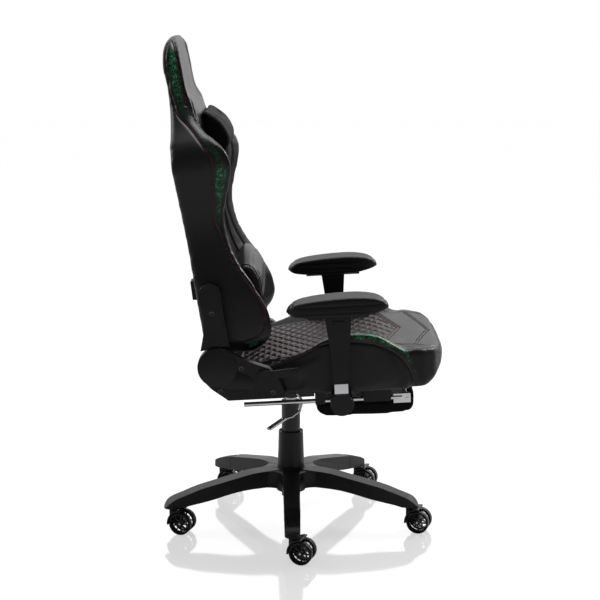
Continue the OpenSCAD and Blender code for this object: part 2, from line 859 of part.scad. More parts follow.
module back_outline() {
    waist = waist_w / 2;
    shoulder = shoulder_w / 2;
    half = smooth([[8, 0], [10, half_hip - 60], [36, half_hip - 8], [90, half_hip],
                   [200, half_hip - 6], [waist_q - 55, waist + 2], [waist_q, waist],
                   [up(0.116), waist + 8], [up(0.244), shoulder - 8], [up(0.339), shoulder],
                   [up(0.434), shoulder - 12], [up(0.54), shoulder - 58],
                   [up(0.646), half_head + 14], [up(0.752), half_head + 1],
                   [back_h - 60, half_head], [back_h - 20, half_head - 22],
                   [back_h - 4, half_head - 62], [back_h, 40]]);
    points = both_halves(half);
    polygon([for (p = points) [p[1], p[0]]]);
}

module back_frame_room() {
    side_y = wing_inner + 26;
    both_sides() {
        translate([4, side_y, 10]) cylinder(d = back_tube_d + 1, h = frame_top_q + 4);
        for (q = [boss_low, boss_high]) translate([10, 0, q]) bar_y(side_y, back_plate_y, boss_d + 1);
    }
    for (q = [45, 200, frame_top_q]) translate([4, 0, q]) bar_y(-side_y - 12, side_y + 12, back_tube_d + 1);
}

module back_cushion_profile() {
    r = back_rear;
    f = back_face;
    polygon(smooth([[r + 6, 16], [r, 100], [r - 3, 300], [r - 9, up(0.33)], [r + 1, up(0.568)],
                    [r + 5, up(0.731)], [r + 1, back_h - 75], [r + 9, back_h - 27],
                    [r + 23, back_h - 5], [f - 42, back_h], [f - 28, back_h - 10],
                    [f - 23, back_h - 50], [f - 20, up(0.752)], [f - 14, up(0.646)],
                    [f - 6, up(0.54)], [f - 6, up(0.286)], [f - 15, up(0.074)], [f - 14, 260],
                    [f - 2, 120], [f, 40], [f - 8, 16]]));
}

module back_cushion() {
    inner = wing_inner - 0.3;
    color([0.16, 0.16, 0.17]) on_back()
    difference() {
        intersection() {
            slab(-shoulder_w / 2, shoulder_w / 2) back_cushion_profile();
            front_slab(-60, 80) back_outline();
            front_slab(-60, 80)
                polygon([[-inner, 0], [inner, 0], [inner, neck_q], [shoulder_w / 2, neck_q],
                         [shoulder_w / 2, back_h + 9], [-shoulder_w / 2, back_h + 9],
                         [-shoulder_w / 2, neck_q], [-inner, neck_q]]);
        }
        back_frame_room();
    }
}

module wing_profile() {
    r = back_rear;
    s = r + shoulder_depth;
    h = r + hip_depth;
    top = neck_q - seat_gap;
    polygon(concat(
        smooth([[r + 6, 18], [r + 2, 100], [r - 2, 300], [r - 8, up(0.33)], [r + 2, up(0.568)],
                [r + 5, top]], 2),
        smooth([[back_face - 26, top], [s - 71, up(0.557)], [s - 48, up(0.49)],
                [s - 25, up(0.437)], [s - 8, up(0.388)], [s, up(0.322)], [s - 4, up(0.265)],
                [s - 17, up(0.178)], [s - 29, up(0.1)], [s - 37, waist_q], [h - 74, 314],
                [h - 66, 271], [h - 51, 228], [h - 37, 199], [h - 22, 166], [h - 6, 125],
                [h, 88], [h - 3, 62], [h - 14, 40], [h - 32, 26], [h - 52, 15], [h - 78, 10]])));
}

module back_wing(side) {
    color([0.16, 0.16, 0.17]) on_back() on_side(side)
    difference() {
        intersection() {
            slab(wing_inner, shoulder_w / 2 + 1) wing_profile();
            front_slab(-60, 180) back_outline();
        }
        back_frame_room();
    }
}

// A pillow lies against the cushion's front
module pillow(half_width) {
    difference() {
        slab(-half_width, half_width) children();
        translate([seat_gap, 0, 0]) slab(-half_width - 1, half_width + 1) back_cushion_profile();
    }
}

module head_pillow() {
    f = back_face - 5;
    c = up(0.466);
    color([0.18, 0.18, 0.18]) on_back()
    pillow(pillow_half)
        polygon(smooth([[f - 4, c + 5], [f - 4, c - 50], [f + 14, c - 62], [f + 35, c - 58],
                        [f + 54, c - 37], [f + 58, c - 14], [f + 44, c + 22], [f + 18, c + 47],
                        [f + 6, c + 56], [f - 4, c + 50], [f - 4, c + 5]]));
}

module lumbar_pillow() {
    f = back_face - 1;
    color([0.18, 0.18, 0.18]) on_back()
    pillow(lumbar_half)
        polygon(smooth([[f - 14, 180], [f - 8, 118], [f + 20, 104], [f + 56, 106], [f + 76, 124],
                        [f + 76, 152], [f + 62, 206], [f + 44, 262], [f + 32, 282], [f + 8, 286],
                        [f - 16, 270], [f - 14, 180]]));
}

module pillow_straps() {
    r = back_rear - 2.6;
    f = back_face + 0.6;
    strap_w = 38;
    color([0.06, 0.06, 0.06]) on_back() {
        slab(-strap_w / 2, strap_w / 2)
            polygon([[r, 240], [r - 2, 240], [r - 16, 190], [r - 20, 145], [r - 14, 62], [r + 2, 12],
                     [f + 2, 12], [f + 2, 92], [f, 92], [f, 14], [r + 4, 14], [r - 12, 62],
                     [r - 18, 145], [r - 14, 190]]);
        slab(-24, 24) polygon([[r - 16, 178], [r - 28, 176], [r - 29, 128], [r - 18, 126],
                               [r - 19, 145]]);
    }
}

// ---- Footrest ----

module footrest_guides() {
    long = 75;
    short = 30;
    color([0.1, 0.1, 0.1]) on_seat() both_sides()
    for (g = [[half_plate_x, short], [guide_front_u, long]])
        translate([g[0], rail_y, 0])
        difference() {
            union() {
                translate([-g[1] / 2, -guide_w / 2, -sheet_t]) cube([g[1], guide_w, sheet_t]);
                translate([-g[1] / 2 + 2, -rail_d / 2 - 3, rail_w - rail_d / 2 - 2])
                    cube([g[1] - 4, rail_d + 6, -rail_w + rail_d / 2]);
            }
            translate([-g[1], 0, rail_w]) rotate([0, 90, 0]) cylinder(d = rail_d + 2 * running, h = 2 * g[1]);
            translate([0, 0, -sheet_t - 12]) cylinder(d = 16, h = 12);
            translate([0, 0, -sheet_t - 1]) cylinder(d = bolt_hole, h = sheet_t + 2);
        }
}

module footrest_rails() {
    color([0.85, 0.85, 0.87]) on_seat() {
        both_sides() {
            translate([rail_front - rail_l, rail_y, rail_w]) rotate([0, 90, 0])
                cylinder(d = rail_d, h = rail_l - 14);
            translate([rail_front - 36, rail_y - 4, hinge_w - 9]) cube([44, 8, 24]);
        }
        translate([rail_front, 0, hinge_w]) bar_y(-rail_y - 7, rail_y + 7, axle_bar_d);
    }
}

module footrest_frame() {
    board_half = foot_w / 2 - 12;
    top = hinge_w - 6;
    color([0.2, 0.2, 0.2]) on_seat()
    difference() {
        union() {
            translate([foot_u - foot_l + 20, -board_half, top - 3]) cube([foot_l - 26, 2 * board_half, 3]);
            for (y = [-board_half, board_half - 5])
                translate([foot_u - 12, y, top - 3]) cube([20, 5, 17]);
        }
        translate([foot_u, 0, hinge_w]) bar_y(-foot_w, foot_w, axle_bar_d + 2 * running);
    }
}

module footrest_pad() {
    top = hinge_w - 9 - seat_gap;
    low = top - foot_t + 4;
    lip = hinge_w + 15;
    front = foot_u + 18;
    rear = front - foot_l;
    color([0.12, 0.12, 0.12]) on_seat()
    slab(-foot_w / 2, foot_w / 2)
        polygon(concat([[front - 9, top], [front - 9, lip]],
                       smooth([[front - 3, lip], [front, lip - 6], [front, top - 8],
                               [front - 5, low + 10], [front - 26, low + 3],
                               [front - 90, low - 1], [rear + 60, low + 1], [rear + 26, low + 3],
                               [rear + 9, low + 11], [rear, top - 8], [rear + 2, top]])));
}

base_star();
gas_tube();
column_covers();
for (n = LEGS) {
    at_caster(n) caster_housing();
    at_caster(n) caster_pins();
    for (s = SIDES)
        at_caster(n) caster_wheel(s);
}
piston_rod();
gas_cylinder();
valve_pin();
seat_plate();
lift_lever();
seat_frame();
seat_webbing();
seat_cushion();
seat_bolts();
arm_brackets();
arm_elbows();
for (s = SIDES) {
    seat_bolster(s);
    arm_post(s);
    arm_slider(s);
    arm_button(s);
    arm_pad(s);
    back_wing(s);
}
recline_seat_plates();
recline_back_plates();
recline_covers_lower();
recline_covers_upper();
recline_lever();
back_frame();
back_cushion();
head_pillow();
lumbar_pillow();
pillow_straps();
footrest_guides();
footrest_rails();
footrest_frame();
footrest_pad();
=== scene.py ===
import bpy
import bmesh
import json
import math
from contextlib import contextmanager
from mathutils import Matrix, Vector
from mathutils.bvhtree import BVHTree
from mathutils.kdtree import KDTree

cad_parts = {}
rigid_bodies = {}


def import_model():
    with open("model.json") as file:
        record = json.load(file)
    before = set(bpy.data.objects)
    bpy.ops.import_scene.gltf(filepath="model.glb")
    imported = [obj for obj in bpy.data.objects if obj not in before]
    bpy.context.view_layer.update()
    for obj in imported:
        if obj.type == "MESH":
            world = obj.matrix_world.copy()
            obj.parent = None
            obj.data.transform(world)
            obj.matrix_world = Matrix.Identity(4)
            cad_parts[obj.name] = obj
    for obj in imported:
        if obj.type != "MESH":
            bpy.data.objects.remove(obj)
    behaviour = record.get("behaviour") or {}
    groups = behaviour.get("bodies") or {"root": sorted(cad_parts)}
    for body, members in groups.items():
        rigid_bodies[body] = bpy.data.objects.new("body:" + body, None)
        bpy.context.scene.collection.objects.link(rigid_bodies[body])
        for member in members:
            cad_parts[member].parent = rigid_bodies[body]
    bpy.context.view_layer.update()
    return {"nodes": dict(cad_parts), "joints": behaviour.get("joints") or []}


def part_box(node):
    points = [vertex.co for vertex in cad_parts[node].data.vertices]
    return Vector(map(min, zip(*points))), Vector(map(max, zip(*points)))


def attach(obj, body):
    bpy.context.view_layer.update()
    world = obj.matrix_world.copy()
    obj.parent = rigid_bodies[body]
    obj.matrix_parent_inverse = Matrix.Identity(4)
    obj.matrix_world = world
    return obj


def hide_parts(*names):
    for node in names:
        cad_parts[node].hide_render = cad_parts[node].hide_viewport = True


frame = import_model()
print("frame loaded")


def jointNamed(name):
    return next(j for j in frame["joints"] if j["name"] == name)


# the seat's own frame and the back's own frame, from the joints
slideAxis = jointNamed("footrest_pull")["axis"]
seatTilt = math.atan2(slideAxis[2], slideAxis[0])
backLean = math.radians(5.4)
pivotPoint = Vector(jointNamed("recline")["pos_m"])
pivotBack, pivotUp = 0.176, 0.092  # the recline axis in the seat's own frame
seatTurn = Matrix.Rotation(-seatTilt, 4, "Y")
seatPlace = Matrix.Translation(pivotPoint) @ seatTurn @ Matrix.Translation((pivotBack, 0, -pivotUp))
pivotPlace = Matrix.Translation(pivotPoint) @ seatTurn
backPlace = pivotPlace @ Matrix.Rotation(-backLean, 4, "Y")
sides = {"right": -1, "left": 1}


def mm(*values):
    return Vector([v / 1000 for v in values])


def clamp(value):
    return max(0.0, min(1.0, value))


def scaledPast(value, limit, share):
    # what lies past a limit, scaled
    return limit + (value - limit) * share if value > limit else value


def inFrame(piece, place):
    # a piece's points in a place's own frame
    home = place.inverted()
    return [home @ vertex.co for vertex in piece.data.vertices]


def setInFrame(piece, place, points):
    for vertex, point in zip(piece.data.vertices, points):
        vertex.co = place @ Vector(point)


class Wire:
    # one shader socket, so that node maths reads as plain arithmetic
    def __init__(self, shader, socket):
        self.shader, self.socket = shader, socket

    def maths(self, operation, a, b=0.0):
        return self.shader.node("ShaderNodeMath", {"operation": operation}, {0: a, 1: b})

    def __add__(self, other): return self.maths("ADD", self, other)
    def __radd__(self, other): return self.maths("ADD", other, self)
    def __sub__(self, other): return self.maths("SUBTRACT", self, other)
    def __rsub__(self, other): return self.maths("SUBTRACT", other, self)
    def __mul__(self, other): return self.maths("MULTIPLY", self, other)
    def __rmul__(self, other): return self.maths("MULTIPLY", other, self)
    def __abs__(self): return self.maths("ABSOLUTE", self)
    def wave(self): return self.maths("SINE", self)
    def over(self, other): return self.maths("GREATER_THAN", self, other)
    def least(self, other): return self.maths("MINIMUM", self, other)
    def most(self, other): return self.maths("MAXIMUM", self, other)

    def ramp(self, low, high, outLow=0.0, outHigh=1.0):
        return self.shader.node("ShaderNodeMapRange", {"interpolation_type": "SMOOTHSTEP"},
                                {0: self, 1: low, 2: high, 3: outLow, 4: outHigh})


class Nodes:
    # the node tree of a material or a world
    def __init__(self, owner):
        owner.use_nodes = True
        self.tree = owner.node_tree
        self.tree.nodes.clear()

    def node(self, kind, settings=None, values=None, output=0):
        made = self.tree.nodes.new(kind)
        for key, value in (settings or {}).items():
            setattr(made, key, value)
        for key, value in (values or {}).items():
            self.feed(made.inputs[key], value)
        return None if output is None else Wire(self, made.outputs[output])

    def feed(self, socket, value):
        if isinstance(value, Wire):
            self.tree.links.new(value.socket, socket)
        elif isinstance(value, (tuple, list)) and len(value) == 3 and socket.type == "RGBA":
            socket.default_value = (*value, 1)
        else:
            socket.default_value = value

    def axes(self, vector):
        split = self.node("ShaderNodeSeparateXYZ", None, {0: vector}).socket.node
        return [Wire(self, o) for o in split.outputs]

    def ray(self, kind):
        return self.node("ShaderNodeLightPath", output=f"Is {kind} Ray")


class Shader(Nodes):
    def __init__(self, name):
        self.material = bpy.data.materials.new(name)
        super().__init__(self.material)
        self.out = self.tree.nodes.new("ShaderNodeOutputMaterial")
        self.surface = self.tree.nodes.new("ShaderNodeBsdfPrincipled")
        self.tree.links.new(self.surface.outputs[0], self.out.inputs[0])

    def set(self, **values):
        for key, value in values.items():
            self.feed(self.surface.inputs[key.replace("_", " ")], value)
        return self.material

    def shine(self, level):
        self.surface.inputs["Specular IOR Level"].default_value = level

    def here(self):
        return self.node("ShaderNodeTexCoord", output="Object")

    def attribute(self, name):
        return self.node("ShaderNodeAttribute", {"attribute_name": name}, output="Fac")

    def noise(self, vector, scale, detail=3.0, roughness=0.5):
        return self.node("ShaderNodeTexNoise", None,
                         {"Vector": vector, "Scale": scale, "Detail": detail, "Roughness": roughness})

    def cells(self, vector, scale):
        return self.node("ShaderNodeTexVoronoi", None, {"Vector": vector, "Scale": scale})

    def chance(self, vector, scale):
        # one random value for each small cell
        cell = self.node("ShaderNodeTexVoronoi", None, {"Vector": vector, "Scale": scale}, output=1)
        return self.axes(cell)[0]

    def blend(self, factor, a, b):
        return self.node("ShaderNodeMix", {"data_type": "RGBA"}, {0: factor, 6: a, 7: b}, output=2)

    def bump(self, height, distance, strength):
        return self.node("ShaderNodeBump", None,
                         {"Height": height, "Distance": distance, "Strength": strength})


def tone(*rgb):
    # screen values 0 to 255 as linear light
    return tuple(round(v / 255 / 12.92 if v < 10.4 else ((v / 255 + 0.055) / 1.055) ** 2.4, 5) for v in rgb)


# noise patterns are given as scale, detail and roughness
finishes = {
    "soft leather": {"dark": tone(6, 6, 7), "light": tone(11, 11, 13), "grain": 760, "roughness": 0.66,
                     "shine": 0.12},
    "leather": {"dark": tone(13, 13, 15), "light": tone(22, 22, 25), "grain": 760, "roughness": 0.38,
                "shine": 0.36},
    "cover": {"creases": (55, 5, 0.6), "clouds": (9, 4, 0.55), "bumpDepth": 0.0004, "bump": 0.55,
              "cloudRough": 0.14, "creaseRough": 0.12},
    # the green band's tones; the brightest one is a painted highlight for the glints of its flakes
    "green": {"foil": tone(7, 12, 10), "deep": tone(6, 44, 26), "mid": tone(14, 96, 54),
              "paintedGlint": tone(110, 255, 170), "cloud": 46, "flake": 270, "dust": 620},
}


def leatherParts(shader, kind="leather"):
    # pebbled grain, broad creases and a slow change of tone, shared by all covers
    look = finishes[kind]
    here = shader.here()
    pebbles = shader.cells(here, look["grain"])
    cover = finishes["cover"]
    creases = shader.noise(here, *cover["creases"])
    cloud = shader.noise(here, *cover["clouds"])
    colour = shader.blend(cloud.ramp(0.3, 0.7), look["dark"], look["light"])
    rough = look["roughness"] + (cloud - 0.5) * cover["cloudRough"] + (creases - 0.5) * cover["creaseRough"]
    grain = shader.bump(pebbles * 0.5 + creases * 0.8, cover["bumpDepth"], cover["bump"])
    shader.shine(look["shine"])
    return here, colour, rough, grain


def leather(name, kind):
    shader = Shader(name)
    _, colour, rough, grain = leatherParts(shader, kind)
    return shader.set(Base_Color=colour, Roughness=rough, Normal=grain)


def greenTone(shader, here):
    # dark foil with emerald clouds, and flakes with painted glints: their brightest spots are painted
    # highlights in the colour
    look = finishes["green"]
    cloud = shader.noise(here, look["cloud"], 5, 0.6)
    flake = shader.chance(here, look["flake"])
    dust = shader.chance(here, look["dust"])
    body = shader.blend(cloud.ramp(0.36, 0.62), look["deep"], look["mid"])
    # painted highlights: bright glints on the brightest flakes and specks
    paintedGlint = flake.ramp(0.5, 1.0) * cloud.ramp(0.42, 0.66) + dust.ramp(0.86, 0.92) * 0.6
    return shader.blend(paintedGlint.least(1.0), body, look["paintedGlint"])


def bandLeather(name):
    # black leather with the green band where the piece's own attribute says so, and painted sheen along the
    # band from a second attribute
    shader = Shader(name)
    here, colour, rough, grain = leatherParts(shader)
    band = shader.attribute("band")
    strength = shader.attribute("bandStrength")
    inside = band.ramp(-0.0004, 0.0004)
    # the band goes from the dark foil to its green as its painted sheen rises
    showing = band.ramp(0.004, 0.015) * strength
    lit = shader.blend(showing, finishes["green"]["foil"], greenTone(shader, here))
    colour = shader.blend(inside, colour, lit)
    return shader.set(Base_Color=colour, Roughness=rough - inside * 0.08, Normal=grain)


def mouldedPlastic(name, dark, light, roughness, grain=1400, depth=0.00012):
    shader = Shader(name)
    here = shader.here()
    fine = shader.noise(here, grain, 2, 0.6)
    broad = shader.noise(here, 14, 4, 0.5)
    scuffs = shader.noise(here, 160, 6, 0.7)
    colour = shader.blend(broad.ramp(0.35, 0.65), dark, light)
    rough = roughness + (broad - 0.5) * 0.12 + scuffs.ramp(0.62, 0.75) * 0.08
    shader.shine(0.3)
    return shader.set(Base_Color=colour, Roughness=rough, Normal=shader.bump(fine, depth, 0.6))


def polishedMetal(name, colour, roughness, brushed=0.0):
    shader = Shader(name)
    here = shader.here()
    x, y, z = shader.axes(here)
    # the metal is drawn along x
    drawn = shader.node("ShaderNodeCombineXYZ", None, {0: x * 30, 1: y * 900, 2: z * 900})
    lines = shader.noise(drawn, 1.0, 4, 0.6)
    smudge = shader.noise(here, 30, 4, 0.6)
    rough = roughness + lines.ramp(0.4, 0.7) * brushed + smudge.ramp(0.5, 0.75) * 0.06
    tint = shader.blend(smudge, colour, tuple(c * 0.88 for c in colour))
    return shader.set(Base_Color=tint, Metallic=1.0, Roughness=rough, Normal=shader.bump(lines, 0.00003, 0.3))


def paintedSteel():
    shader = Shader("black powder coat")
    here = shader.here()
    peel = shader.noise(here, 700, 3, 0.6)
    broad = shader.noise(here, 12, 3, 0.5)
    colour = shader.blend(broad, tone(22, 22, 22), tone(30, 30, 31))
    return shader.set(Base_Color=colour, Roughness=0.4 + (broad - 0.5) * 0.15,
                      Normal=shader.bump(peel, 0.00015, 0.5))


def wovenNylon():
    shader = Shader("woven webbing")
    x, y, _ = shader.axes(shader.here())
    warp = abs((x * 2600).wave())
    weft = abs((y * 2600).wave())
    cross = ((x + y) * 1300).wave().over(0.0)
    threads = cross * warp + (1 - cross) * weft
    fuzz = shader.noise(shader.here(), 300, 4, 0.7)
    colour = shader.blend(threads * 0.6 + fuzz * 0.4, tone(14, 14, 14), tone(44, 44, 45))
    return shader.set(Base_Color=colour, Roughness=0.8 - threads * 0.15,
                      Normal=shader.bump(threads, 0.0003, 0.7))


def foamSkin():
    # integral-skin foam of the arm pads
    shader = Shader("moulded foam skin")
    here = shader.here()
    pores = shader.cells(here, 900)
    broad = shader.noise(here, 10, 4, 0.5)
    colour = shader.blend(broad.ramp(0.35, 0.65), tone(7, 7, 8), tone(13, 13, 15))
    shader.shine(0.3)
    return shader.set(Base_Color=colour, Roughness=0.46 + (broad - 0.5) * 0.1,
                      Normal=shader.bump(pores, 0.00018, 0.4))


def threadMaterial(name, colour):
    shader = Shader(name)
    twist = shader.noise(shader.here(), 1800, 2, 0.5)
    colour = shader.blend(twist, colour, tuple(c * 0.5 for c in colour))
    return shader.set(Base_Color=colour, Roughness=0.7, Normal=shader.bump(twist, 0.0002, 0.6))


materials = {
    "leather": leather("black leather", "leather"),
    "soft leather": leather("soft black leather", "soft leather"),
    "band": bandLeather("leather with green band"),
    "base": mouldedPlastic("base plastic", tone(13, 13, 16), tone(22, 22, 26), 0.34),
    "trim": mouldedPlastic("trim plastic", tone(15, 15, 17), tone(25, 25, 28), 0.38),
    "shroud": mouldedPlastic("shroud plastic", tone(16, 13, 12), tone(24, 20, 19), 0.34),
    "caster": mouldedPlastic("caster plastic", tone(9, 9, 10), tone(17, 17, 18), 0.24, 900, 0.00005),
    "chrome": polishedMetal("chrome", (0.82, 0.82, 0.84), 0.08),
    "steel": polishedMetal("bright steel", (0.6, 0.6, 0.62), 0.22, 0.12),
    "bolt": polishedMetal("dark bolt steel", (0.12, 0.12, 0.13), 0.35, 0.1),
    "paint": paintedSteel(),
    "webbing": wovenNylon(),
    "skin": foamSkin(),
    "thread": threadMaterial("red thread", tone(170, 36, 52)),
    "blackThread": threadMaterial("black thread", tone(14, 14, 15)),
}


# solids that keep their own mesh, by finish
plainSolids = {
    "paint": ["gas_tube", "seat_plate", "seat_frame", "recline_seat_plates", "recline_back_plates",
              "back_frame", "footrest_frame"],
    "steel": ["piston_rod", "gas_cylinder", "valve_pin", "lift_lever"]
    + [f"caster_pins_{n}" for n in range(1, 6)],
    "trim": ["footrest_guides", "arm_slider_right", "arm_slider_left"],
    "chrome": ["arm_brackets", "footrest_rails"],
    "webbing": ["seat_webbing", "pillow_straps"],
    "shroud": ["column_covers"],
    "bolt": ["seat_bolts"],
}
for material, nodes in plainSolids.items():
    for mesh in (frame["nodes"][node].data for node in nodes):
        mesh.materials.clear()
        mesh.materials.append(materials[material])
        for polygon in mesh.polygons:
            polygon.material_index = 0
print("materials ready")


def mergedMesh(*nodes):
    # the solids' meshes in one, with their loose triangles joined
    bm = bmesh.new()
    for node in nodes:
        bm.from_mesh(frame["nodes"][node].data)
    bmesh.ops.remove_doubles(bm, verts=bm.verts, dist=0.00002)
    return bm


def linked(name, data):
    made = bpy.data.objects.new(name, data)
    bpy.context.collection.objects.link(made)
    return made


def meshFrom(name, bm, material):
    mesh = bpy.data.meshes.new(name)
    bm.to_mesh(mesh)
    bm.free()
    mesh.materials.append(material)
    return mesh


def addPiece(name, bm, material, body, slot, *nodes):
    piece = linked(name, meshFrom(name, bm, materials[material]))
    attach(piece, body)
    if nodes:
        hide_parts(*nodes)
    return piece


def smoothFaces(piece, sharpFrom=None):
    for polygon in piece.data.polygons:
        polygon.use_smooth = True
    if sharpFrom:
        piece.data.set_sharp_from_angle(angle=math.radians(sharpFrom))


@contextmanager
def editing(piece):
    bm = bmesh.new()
    bm.from_mesh(piece.data)
    bm.normal_update()
    yield bm
    bm.to_mesh(piece.data)
    bm.free()


def evenOut(piece, times, only=None):
    with editing(piece) as bm:
        bm.verts.ensure_lookup_table()
        verts = [bm.verts[i] for i in only] if only else bm.verts[:]
        for _ in range(times):
            bmesh.ops.smooth_vert(bm, verts=verts, factor=0.5, use_axis_x=True, use_axis_y=True,
                                  use_axis_z=True)


def pushOut(piece, distance):
    with editing(piece) as bm:
        for vertex in bm.verts:
            vertex.co += vertex.normal * distance


mouldedEdges = {"flatWithin": 0.6, "segments": 3, "roundFrom": 32, "sharpFrom": 52}  # angles in degrees


def roundedCopy(node, material, body, slot, width):
    # a rigid part with softened moulded edges
    bm = mergedMesh(node)
    flat = math.radians(mouldedEdges["flatWithin"])
    bmesh.ops.dissolve_limit(bm, angle_limit=flat, verts=bm.verts, edges=bm.edges)
    piece = addPiece(f"{node}_shell", bm, material, body, slot, node)
    bevel = piece.modifiers.new("softened edges", "BEVEL")
    bevel.width = width
    bevel.segments = mouldedEdges["segments"]
    bevel.limit_method = "ANGLE"
    bevel.angle_limit = math.radians(mouldedEdges["roundFrom"])
    smoothFaces(piece, mouldedEdges["sharpFrom"])


def applyModifiers(piece):
    bpy.context.view_layer.update()
    graph = bpy.context.evaluated_depsgraph_get()
    made = bpy.data.meshes.new_from_object(piece.evaluated_get(graph))
    piece.modifiers.clear()
    old, piece.data = piece.data, made
    made.materials.clear()
    for material in old.materials:
        made.materials.append(material)
    bpy.data.meshes.remove(old)


clothSettings = {"use_pressure": True, "quality": 5, "mass": 0.3, "tension_stiffness": 15,
                 "compression_stiffness": 15, "shear_stiffness": 5, "bending_stiffness": 0.5}
clothSteps = 20


def inflate(piece, settings):
    # pressure cloth, with each point's way capped
    start = [v.co.copy() for v in piece.data.vertices]
    cloth = piece.modifiers.new("padding", "CLOTH")
    for key, value in clothSettings.items():
        setattr(cloth.settings, key, value)
    cloth.settings.uniform_pressure_force = settings["pressure"]
    cloth.settings.effector_weights.gravity = 0
    cloth.collision_settings.use_collision = False
    cloth.point_cache.frame_start = 1
    cloth.point_cache.frame_end = clothSteps
    scene = bpy.context.scene
    for step in range(1, clothSteps + 1):
        scene.frame_set(step)
    graph = bpy.context.evaluated_depsgraph_get()
    moved = piece.evaluated_get(graph).to_mesh()
    places = [v.co.copy() for v in moved.vertices]
    piece.evaluated_get(graph).to_mesh_clear()
    piece.modifiers.clear()
    scene.frame_set(1)
    cap, shrink = settings["cap"], settings["shrink"]
    normals = [n.vector.copy() for n in piece.data.vertex_normals]
    for vertex, a, b, normal in zip(piece.data.vertices, start, places, normals):
        way = b - a
        if way.length > cap:
            way *= cap / way.length
        # the padding never ends inside the shape it started from
        way += normal * max(0.0, shrink - way.dot(normal))
        vertex.co = a + way
    piece.data.update()


def along(track, at):
    # the value of a drawn line at one place, its points given in rising order
    for (a, low), (b, high) in zip(track, track[1:]):
        if at < b:
            return low + (high - low) * max(0.0, (at - a) / (b - a))
    return track[-1][1]


def softPiece(name, nodes, extra, settings, material, body, slot, shape=None):
    # remeshed, smoothed, shrunk a little, then swollen by the cloth simulation
    bm = mergedMesh(*nodes, *extra)
    piece = addPiece(name, bm, material, body, slot, *nodes)
    remesh = piece.modifiers.new("even skin", "REMESH")
    remesh.mode = "VOXEL"
    remesh.voxel_size = settings["voxel"]
    applyModifiers(piece)
    evenOut(piece, settings["smooth"])
    pushOut(piece, -settings["shrink"])
    if "cap" in settings:
        inflate(piece, settings)
    elif "cap" in settings:
        pushOut(piece, settings["shrink"])
    if shape:
        shape(piece, settings)
    if settings.get("divide", True):
        divide = piece.modifiers.new("fine skin", "SUBSURF")
        divide.levels = divide.render_levels = 1
        applyModifiers(piece)
    smoothFaces(piece)
    print(name, "has", len(piece.data.polygons), "faces")
    return piece


def curveThrough(points, spacing):
    # a smooth line through the points, at even steps
    dense = []
    last = len(points) - 1
    for i in range(last):
        a, b, c, d = points[max(i - 1, 0)], points[i], points[i + 1], points[min(i + 2, last)]
        for k in range(24):
            t = k / 24
            dense.append(0.5 * ((2 * b) + (c - a) * t + (2 * a - 5 * b + 4 * c - d) * t * t
                                + (3 * b - a - 3 * c + d) * t ** 3))
    dense.append(points[-1])
    line, left = [dense[0]], 0.0
    for a, b in zip(dense, dense[1:]):
        length = (b - a).length
        while left + length >= spacing:
            a = a.lerp(b, (spacing - left) / length)
            line.append(a)
            length = (b - a).length
            left = 0.0
        left += length
    return line


lineStep = 0.002  # between the points of a drawn line


def skinTree(piece):
    return BVHTree.FromObject(piece, bpy.context.evaluated_depsgraph_get())


def lineOnSkin(tree, points, place, direction, back=0.5, spacing=lineStep):
    # drops a drawn line onto a piece's skin along a direction
    towards = (place.to_3x3() @ Vector(direction)).normalized()
    found = []
    for point in curveThrough(points, spacing):
        hit, normal, _, _ = tree.ray_cast(place @ point - towards * back, towards)
        if hit:
            if found and (hit - found[-1][0]).length > 0.02:
                break
            found.append((hit, normal))
    return found


def ringOnSkin(piece, place, centre, across):
    # the line round a piece's skin where a plane cuts it
    bm = bmesh.new()
    bm.from_mesh(piece.data)
    bm.normal_update()
    cut = bmesh.ops.bisect_plane(bm, geom=bm.verts[:] + bm.edges[:] + bm.faces[:], plane_co=place @ centre,
                                 plane_no=place.to_3x3() @ Vector(across), dist=1e-6)
    edges = dict.fromkeys(e for e in cut["geom_cut"] if isinstance(e, bmesh.types.BMEdge))
    rings = []
    while edges:
        edge = next(iter(edges))
        del edges[edge]
        ring, tip = [edge.verts[0], edge.verts[1]], edge.verts[1]
        while True:
            onward = next((e for e in tip.link_edges if e in edges), None)
            if onward is None:
                break
            del edges[onward]
            tip = onward.other_vert(tip)
            ring.append(tip)
        rings.append([(v.co.copy(), v.normal.copy()) for v in ring])
    bm.free()
    longest = max(rings, key=len)
    even, left = [longest[0]], 0.0
    for (a, _), (b, nb) in zip(longest, longest[1:]):
        left += (b - a).length
        if left >= lineStep:
            even.append((b, nb))
            left = 0.0
    return even


def lineTree(lines):
    tree = KDTree(sum(len(line) for line in lines))
    for index, (point, _) in enumerate(spot for line in lines for spot in line):
        tree.insert(point, index)
    tree.balance()
    return tree


def refineNear(piece, lines, reach):
    # finer faces beside the sewn lines
    tree = lineTree(lines)
    with editing(piece) as bm:
        near = {v for v in bm.verts if tree.find(v.co)[2] < reach}
        edges = [e for e in bm.edges if e.verts[0] in near and e.verts[1] in near]
        bmesh.ops.subdivide_edges(bm, edges=edges, cuts=1, use_grid_fill=True, smooth=0.0)
    smoothFaces(piece)


def carve(piece, lines, depth, width, sharp=False):
    # presses sewn lines into a soft skin, as a groove or as the sharp valley between two puffs
    tree = lineTree(lines)
    with editing(piece) as bm:
        for vertex in bm.verts:
            gap = tree.find(vertex.co)[2]
            if gap < 3 * width:
                fade = math.exp(-gap / width) if sharp else math.exp(-(gap / width) ** 2)
                vertex.co -= vertex.normal * depth * fade


def settled(piece, lines):
    # the lines again, on the skin as it lies after the seams were pressed in
    tree = skinTree(piece)
    placed = []
    for line in lines:
        onSkin = []
        for point, normal in line:
            spot, direction, _, _ = tree.find_nearest(point)
            onSkin.append((spot, direction if direction.dot(normal) > 0 else normal))
        placed.append(onSkin)
    return placed


